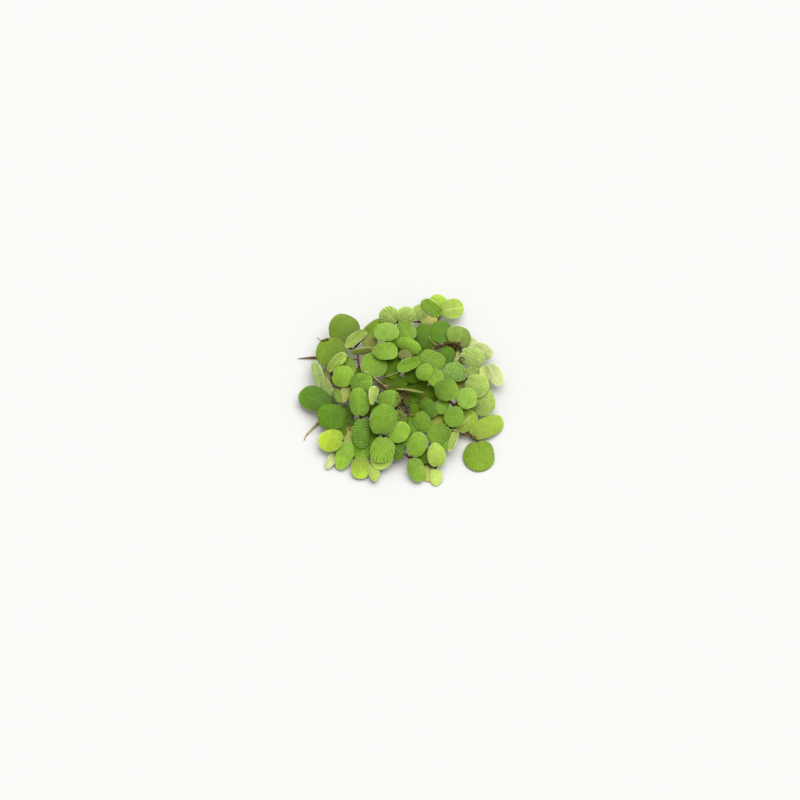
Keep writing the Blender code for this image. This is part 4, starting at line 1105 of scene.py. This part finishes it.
@dataclass
class Stems:
    """The branched hairy stem and the short stalk of every leaf."""

    shift: Vector
    radius: float = 0.46
    end_radius: float = 0.36
    sides: int = 10
    spacing: float = 0.45
    stalk_radius: float = 0.3
    stalk_end: float = 0.24
    knot: float = 0.3
    knot_length: float = 0.9
    hairs_per_mm: float = 5.0
    hair_length: float = 0.85
    hair_radius: float = 0.035
    hair_clear: float = 0.1
    lines: dict[str, np.ndarray] = field(default_factory=dict)
    forks: dict[str, list[int]] = field(default_factory=dict)
    stalks: dict[str, list[Shape]] = field(default_factory=dict)

    def lay(self) -> None:
        """Works out each stem's centre line, with side stems starting in the main one."""
        for name, stations in STEMS.items():
            points = [Heap.point(*station, STEM_LOWEST) + self.shift for station in stations]
            if self.lines:
                first = np.array(points[0])
                near = min((nearest_on(line, first) + (key,) for key, line in self.lines.items()))
                points = [Vector(self.lines[near[2]][near[1]]), *points[1:]]
                self.forks[near[2]].append(near[1])
            self.lines[name] = smooth_line(points, self.spacing)
            self.forks[name] = [0]
            self.stalks[name] = []

    def add_stalks(self, blades: list[Blade]) -> None:
        """Joins each blade's foot to the nearest stem. Args: blades, all of them."""
        for blade in blades:
            foot = np.array(blade.foot())
            _, number, name = min(nearest_on(line, foot) + (key,) for key, line in self.lines.items())
            start = self.lines[name][number]
            sag = np.array([0.0, 0.0, -0.08 * np.linalg.norm(foot - start)])
            line = smooth_line([Vector(start), Vector((start + foot) / 2 + sag), Vector(foot)], self.spacing)
            radii = np.linspace(self.stalk_radius, self.stalk_end, len(line))
            self.stalks[name].append(tube(line, radii, 8))
            self.forks[name].append(number)

    def radii(self, name: str) -> np.ndarray:
        """Args: a stem's name. Returns its radius at each point, swollen at the forks."""
        line = self.lines[name]
        radii = np.linspace(self.radius, self.end_radius, len(line))
        place = np.arange(len(line)) * self.spacing
        for fork in set(self.forks[name]):
            radii += self.knot * np.exp(-(((place - place[fork]) / self.knot_length) ** 2)) * radii
        return np.minimum(radii * (1.0 + 0.08 * np.sin(place * 2.3 + len(name))), 1.7 * self.radius)

    def hairs(self, name: str, random: np.random.Generator) -> Shape:
        """Args: a stem's name and the random source. Returns its coat of short hairs."""
        line, radii = self.lines[name], self.radii(name)
        made = []
        for _ in range(int(len(line) * self.spacing * self.hairs_per_mm)):
            k = random.integers(1, len(line) - 1)
            ahead = line[k + 1] - line[k - 1]
            out = np.cross(ahead, random.normal(size=3))
            out /= np.linalg.norm(out)
            start = line[k] + (line[k + 1] - line[k]) * random.random() + out * radii[k] * 0.8
            tip = start + (out + random.normal(size=3) * 0.35) * self.hair_length * random.uniform(0.5, 1.0)
            tip[2] = max(tip[2], self.hair_clear)
            bend = (start + tip) / 2 + random.normal(size=3) * 0.06
            made.append(tube(np.array([start, bend, tip]), self.hair_radius * np.array([1.0, 0.7, 0.25]), 3))
        return merged(made)

    def build(self) -> None:
        """Builds the stems, their stalks and hairs."""
        skin, hair = STEM_FINISH.material(), HAIR_FINISH.material()
        random = np.random.default_rng(SEED)
        for name in STEMS:
            shape = merged([tube(self.lines[name], self.radii(name), self.sides), *self.stalks[name]])
            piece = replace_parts(shape.piece("hairy_" + name, [skin]), name)
            hairs = self.hairs(name, random)
            hairs.piece("hairs_of_" + name, [hair])
            LOG.info("%s: %d stalks, %d hair faces", name, len(self.stalks[name]), len(hairs.faces))


@dataclass
class Roots:
    """The root-like hanging leaves: three bare ones and four feathery tufts."""

    shift: Vector
    sides: int = 8
    spacing: float = 0.5
    filaments_per_mm: float = 5.0
    filament_length: float = 2.6
    filament_radius: float = 0.06
    filament_way: tuple[float, float, float] = (0.7, 0.6, -0.25)  # outwards, along the strand and down
    filament_stray: float = 0.2
    filament_clear: float = 0.12
    strand_radii: tuple[float, float] = (0.24, 0.1)
    floor_gap: float = 0.02

    def bare(self, name: str) -> Shape:
        """Args: a root's name. Returns it as a tapered, slightly knotted tube."""
        stations, start, end = ROOTS[name]
        points = []
        for k, station in enumerate(stations):
            lowest = start + (end - start) * k / (len(stations) - 1)
            points.append(Heap.point(*station, lowest) + self.shift)
        line = smooth_line(points, self.spacing)
        share = np.linspace(0.0, 1.0, len(line))
        radii = start + (end - start) * share**2.2
        radii *= 1.0 + 0.1 * np.sin(share * 19.0) * (1.0 - share)
        line[:, 2] = np.maximum(line[:, 2], radii + self.floor_gap)
        return tube(line, radii, self.sides)

    def strands(self, name: str) -> list[np.ndarray]:
        """Args: a tuft's name. Returns the centre line of each strand."""
        crown_px, reach, turn = TUFTS[name]
        crown = Heap.point(*crown_px, TUFT_RADIUS * 3.0)
        lines = []
        for k in range(TUFT_STRANDS):
            angle = math.radians(turn + 360.0 * k / TUFT_STRANDS)
            long = reach * (1.0 + 0.18 * math.sin(3.0 * angle))
            points = [
                Vector((
                    crown.x + math.cos(angle + 0.3 * out) * long * out,
                    crown.y + math.sin(angle + 0.3 * out) * long * out,
                    TUFT_RADIUS + (crown.z - TUFT_RADIUS) * down,
                )) + self.shift
                for out, down in TUFT_SHAPE
            ]
            lines.append(smooth_line(points, self.spacing))
        return lines

    def feather(self, line: np.ndarray, random: np.random.Generator) -> list[Shape]:
        """Args: a strand's line and the random source. Returns the strand's filaments."""
        made = []
        outwards, along, down = self.filament_way
        for _ in range(int(len(line) * self.spacing * self.filaments_per_mm)):
            k = random.integers(1, len(line) - 1)
            ahead = line[k + 1] - line[k - 1]
            ahead /= np.linalg.norm(ahead)
            out = np.cross(ahead, random.normal(size=3))
            out /= np.linalg.norm(out)
            long = self.filament_length * random.uniform(0.4, 1.0)
            points = [line[k]]
            for _ in range(3):
                stray = random.normal(size=3) * self.filament_stray
                way = out * outwards + ahead * along + np.array([0, 0, down]) + stray
                points.append(points[-1] + way * long / 3.0)
                points[-1][2] = max(points[-1][2], self.filament_clear)
            made.append(tube(np.array(points), self.filament_radius * np.array([1.0, 0.8, 0.6, 0.3]), 3))
        return made

    def build(self) -> None:
        """Builds the bare roots and the tufts."""
        skin, pale = ROOT_FINISH.material(), PALE_ROOT_FINISH.material()
        random = np.random.default_rng(SEED + 1)
        for name in ROOTS:
            piece = self.bare(name).piece("bare_" + name, [pale if name == "root_left_curved" else skin])
            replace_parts(piece, name)
            LOG.info("%s built", name)
        for name in TUFTS:
            shapes = []
            for line in self.strands(name):
                shapes.append(tube(line, np.linspace(*self.strand_radii, len(line)), 6))
                shapes += self.feather(line, random)
            shape = merged(shapes)
            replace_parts(shape.piece("feathery_" + name, [skin]), name)
            LOG.info("%s: %d faces", name, len(shape.faces))


@dataclass(frozen=True)
class Strand:
    """A runner, root or stalk that shows over the leaves, with its pixels and radii in millimetres."""

    name: str
    path_px: tuple[tuple[float, float], ...]
    start: float
    end: float
    pale: bool = True


@dataclass(frozen=True)
class Bud:
    """A rolled-up young leaf: where it shows, its radius in millimetres and whether it is pale."""

    name: str
    px: tuple[float, float]
    radius: float
    pale: bool = True


@dataclass(frozen=True)
class Tangle:
    """A nest of fine fibres: its middle and half sizes in pixels, and how many fibres it has."""

    name: str
    middle_px: tuple[float, float]
    half_px: tuple[float, float]
    count: int


STRANDS = (
    Strand("runner_left", ((363, 371), (369, 373.5), (374, 377.5), (379, 381.5), (386, 387)), 0.3, 0.2),
    Strand("runner_middle", ((383, 378.5), (388, 376), (394, 374), (400, 371)), 0.24, 0.16),
    Strand("root_fine_left", ((328, 338.5), (323.5, 339.8), (320, 339.5), (315.5, 336.5)), 0.3, 0.08, False),
    Strand("root_white", ((404, 396), (401.5, 401), (400.5, 407), (404, 412)), 0.2, 0.14),
    Strand("root_brown", ((403, 411), (408, 413.5), (415, 416)), 0.22, 0.12, False),
    Strand("stalk_brown_right", ((451, 430), (458, 431), (466, 433.5), (474, 435.5)), 0.34, 0.24),
    Strand("stem_loop_right", ((460, 361), (460.5, 358), (463, 357), (465, 359.5)), 0.26, 0.2, False),
    Strand("stem_down_right", ((457, 344), (456.5, 348), (456, 352), (455.5, 356)), 0.32, 0.22, False),
    Strand("stalk_lower_right", ((474.5, 435.5), (475.5, 438), (476.5, 441)), 0.3, 0.34, False),
)

BUDS = (
    Bud("bud_upper_right", (444, 344.3), 0.42),
    Bud("bud_right", (452.5, 399.5), 0.55),
    Bud("bud_front", (429.5, 443.5), 0.5),
    Bud("bud_loop", (462.7, 359.8), 0.4),
    Bud("knot_front", (406.3, 454.8), 0.6, False),
    Bud("knot_top", (397.6, 321), 0.6, False),
    Bud("knot_right", (453, 430.5), 0.5, False),
    Bud("knot_lower", (428.5, 466), 0.45, False),
)

TANGLES = (
    Tangle("fibres_middle", (403, 405), (7, 15), 60),
    Tangle("fibres_left", (383, 386), (8, 3), 34),
    Tangle("fibres_upper_right", (457, 344), (4.5, 3.2), 30),
    Tangle("fibres_lower_left", (349.5, 426), (2.5, 4), 14),
    Tangle("fibres_upper_middle", (442, 345.5), (5, 2), 16),
)


@dataclass
class Overlay:
    """The strands, buds and fibres that lie on the leaves and stems, each resting on what shows under it."""

    foliage: Foliage
    stems: Stems
    bud_way: tuple[float, float, float] = (0.25, -0.35, 0.9)
    bud_length: float = 1.25
    bud_clear: float = 1.4
    fibre_points: int = 7
    fibre_step_px: float = 1.1
    fibre_turn: float = 0.6
    fibre_clear: tuple[float, float] = (0.1, 0.5)
    fibre_radii: tuple[float, float] = (0.1, 0.05)
    fibre_spread: tuple[float, float] = (0.7, 1.3)

    def __post_init__(self) -> None:
        """Gathers what the pieces rest on."""
        shells = [Shape(shell.points, shell.faces) for shell in self.foliage.shells.values()]
        shells += [
            tube(line, self.stems.radii(name), self.stems.sides) for name, line in self.stems.lines.items()
        ]
        self.tree = merged(shells).tree()
        self.shift = self.foliage.shift

    def resting(self, path_px: Sequence[tuple[float, float]], clear: float) -> list[Vector]:
        """Lays a path on the leaves.

        Args: path_px, pixels along it; clear, its height over them in millimetres.
        Returns smooth points that never dip into a leaf.
        """
        grounds, depths = [], []
        for px, py in path_px:
            ground = Heap.sight_point(px, py, 0.0) + self.shift
            hit = self.tree.ray_cast(ground + TOWARDS_CAMERA * FAR, -TOWARDS_CAMERA)[0]
            depth = 0.0 if hit is None else (hit - ground).dot(TOWARDS_CAMERA)
            grounds.append(ground)
            depths.append(max(depth, 0.0) + clear / TOWARDS_CAMERA.z)
        depths = np.array(depths)
        padded = np.pad(depths, 1, mode="edge")
        high = np.maximum(np.maximum(padded[:-2], padded[2:]), depths)
        soft = np.convolve(np.pad(high, 1, mode="edge"), (0.25, 0.5, 0.25), mode="valid")
        return [g + TOWARDS_CAMERA * float(d) for g, d in zip(grounds, np.maximum(soft, depths))]

    def strand(self, strand: Strand) -> Shape:
        """Args: strand to lay. Returns its tube."""
        path = smooth_line([Vector((*px, 0.0)) for px in strand.path_px], 1.0)
        points = self.resting([(p[0], p[1]) for p in path], strand.start + 0.05)
        line = smooth_line(points, 0.4)
        return tube(line, np.linspace(strand.start, strand.end, len(line)), 8)

    def bud(self, bud: Bud) -> Shape:
        """Args: bud to place. Returns a small egg."""
        middle = np.array(self.resting([bud.px], bud.radius * 0.8)[0])
        middle[2] = max(middle[2], bud.radius * self.bud_clear)
        share = np.linspace(-1.0, 1.0, 9)
        line = middle + share[:, None] * np.array(self.bud_way) * bud.radius * self.bud_length
        return tube(line, bud.radius * np.sqrt(np.maximum(1.0 - share**2, 0.02)), 12)

    def tangle(self, tangle: Tangle, random: np.random.Generator) -> Shape:
        """Args: tangle to lay and the random source. Returns its fibres."""
        made = []
        half = np.array(tangle.half_px)
        for _ in range(tangle.count):
            place = random.uniform(-1.0, 1.0, 2)
            way = random.normal(size=2)
            way /= np.linalg.norm(way)
            path = []
            for _ in range(self.fibre_points):
                path.append(np.array(tangle.middle_px) + np.clip(place, -1.0, 1.0) * half)
                turn = random.normal() * self.fibre_turn
                way = np.array([way[0] * math.cos(turn) - way[1] * math.sin(turn),
                                way[0] * math.sin(turn) + way[1] * math.cos(turn)])
                place = place + way * self.fibre_step_px / half
            points = self.resting([tuple(p) for p in path], random.uniform(*self.fibre_clear))
            line = smooth_line(points, 0.3)
            radii = np.linspace(*self.fibre_radii, len(line)) * random.uniform(*self.fibre_spread)
            made.append(tube(line, radii, 4))
        return merged(made)

    def build(self) -> None:
        """Builds them all."""
        pale, brown, hair = PALE_STEM_FINISH.material(), STEM_FINISH.material(), HAIR_FINISH.material()
        random = np.random.default_rng(SEED + 2)
        for strand in STRANDS:
            piece = self.strand(strand).piece(strand.name, [pale if strand.pale else brown])
        for bud in BUDS:
            self.bud(bud).piece(bud.name, [pale if bud.pale else brown])
        for tangle in TANGLES:
            piece = self.tangle(tangle, random).piece(tangle.name, [hair])
        LOG.info("overlay: %d strands, %d buds, %d tangles", len(STRANDS), len(BUDS), len(TANGLES))


@dataclass
class Studio:
    """A plain pale floor, soft light and the photograph's camera."""

    shift: Vector
    floor_size: float = 6.0
    lens: float = 200.0
    sensor: float = 36.0
    frame_width: float = 0.32
    target_height: float = 8.0
    sky_strength: float = 0.46
    lamp_strength: float = 2.08
    lamp_spread: float = 70.0
    lamp_tilt: tuple[float, float] = (-18.0, 14.0)

    def build(self) -> None:
        """Builds the floor, the lights and the camera."""
        scene = bpy.context.scene
        scene.view_settings.view_transform = "Standard"
        self.add_floor()
        self.add_light()
        camera = bpy.data.objects.new("photo_camera", bpy.data.cameras.new("photo_camera"))
        scene.collection.objects.link(camera)
        scene.camera = camera
        camera.data.lens = self.lens
        camera.data.sensor_width = self.sensor
        camera.data.clip_end = 20.0
        target = (Heap.sight_point(400.0, 400.0, self.target_height) + self.shift) * MM
        distance = self.frame_width * self.lens / self.sensor
        camera.location = target + TOWARDS_CAMERA * distance
        camera.rotation_euler = (-TOWARDS_CAMERA).to_track_quat("-Z", "Y").to_euler()

    def add_floor(self) -> None:
        """Adds the pale floor."""
        half = self.floor_size / 2.0
        mesh = bpy.data.meshes.new("floor")
        corners = [(-half, -half, 0), (half, -half, 0), (half, half, 0), (-half, half, 0)]
        mesh.from_pydata(corners, [], [(0, 1, 2, 3)])
        floor = bpy.data.objects.new("floor", mesh)
        bpy.context.scene.collection.objects.link(floor)
        material, _, shader = new_material("white_paper")
        shader.inputs["Base Color"].default_value = linear("F4F4F2")
        shader.inputs["Roughness"].default_value = 0.9
        mesh.materials.append(material)

    def add_light(self) -> None:
        """Adds an even sky and a broad soft lamp from above."""
        world = bpy.data.worlds.new("studio")
        bpy.context.scene.world = world
        world.use_nodes = True
        world.node_tree.nodes["Background"].inputs["Color"].default_value = (1.0, 1.0, 0.995, 1.0)
        world.node_tree.nodes["Background"].inputs["Strength"].default_value = self.sky_strength
        lamp = bpy.data.objects.new("soft_lamp", bpy.data.lights.new("soft_lamp", "SUN"))
        bpy.context.scene.collection.objects.link(lamp)
        lamp.data.energy = self.lamp_strength
        lamp.data.angle = math.radians(self.lamp_spread)
        lamp.rotation_euler = (*map(math.radians, self.lamp_tilt), 0.0)


def main() -> None:
    """Builds the clump's pieces in order and reports each one."""
    logging.basicConfig(level=logging.INFO, format="%(message)s")
    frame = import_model()
    foliage = Foliage(frame["nodes"])
    foliage.place()
    foliage.build()
    stems = Stems(foliage.shift)
    stems.lay()
    stems.add_stalks(foliage.blades)
    stems.build()
    Roots(foliage.shift).build()
    Overlay(foliage, stems).build()
    Studio(foliage.shift).build()


if __name__ == "__main__":
    main()
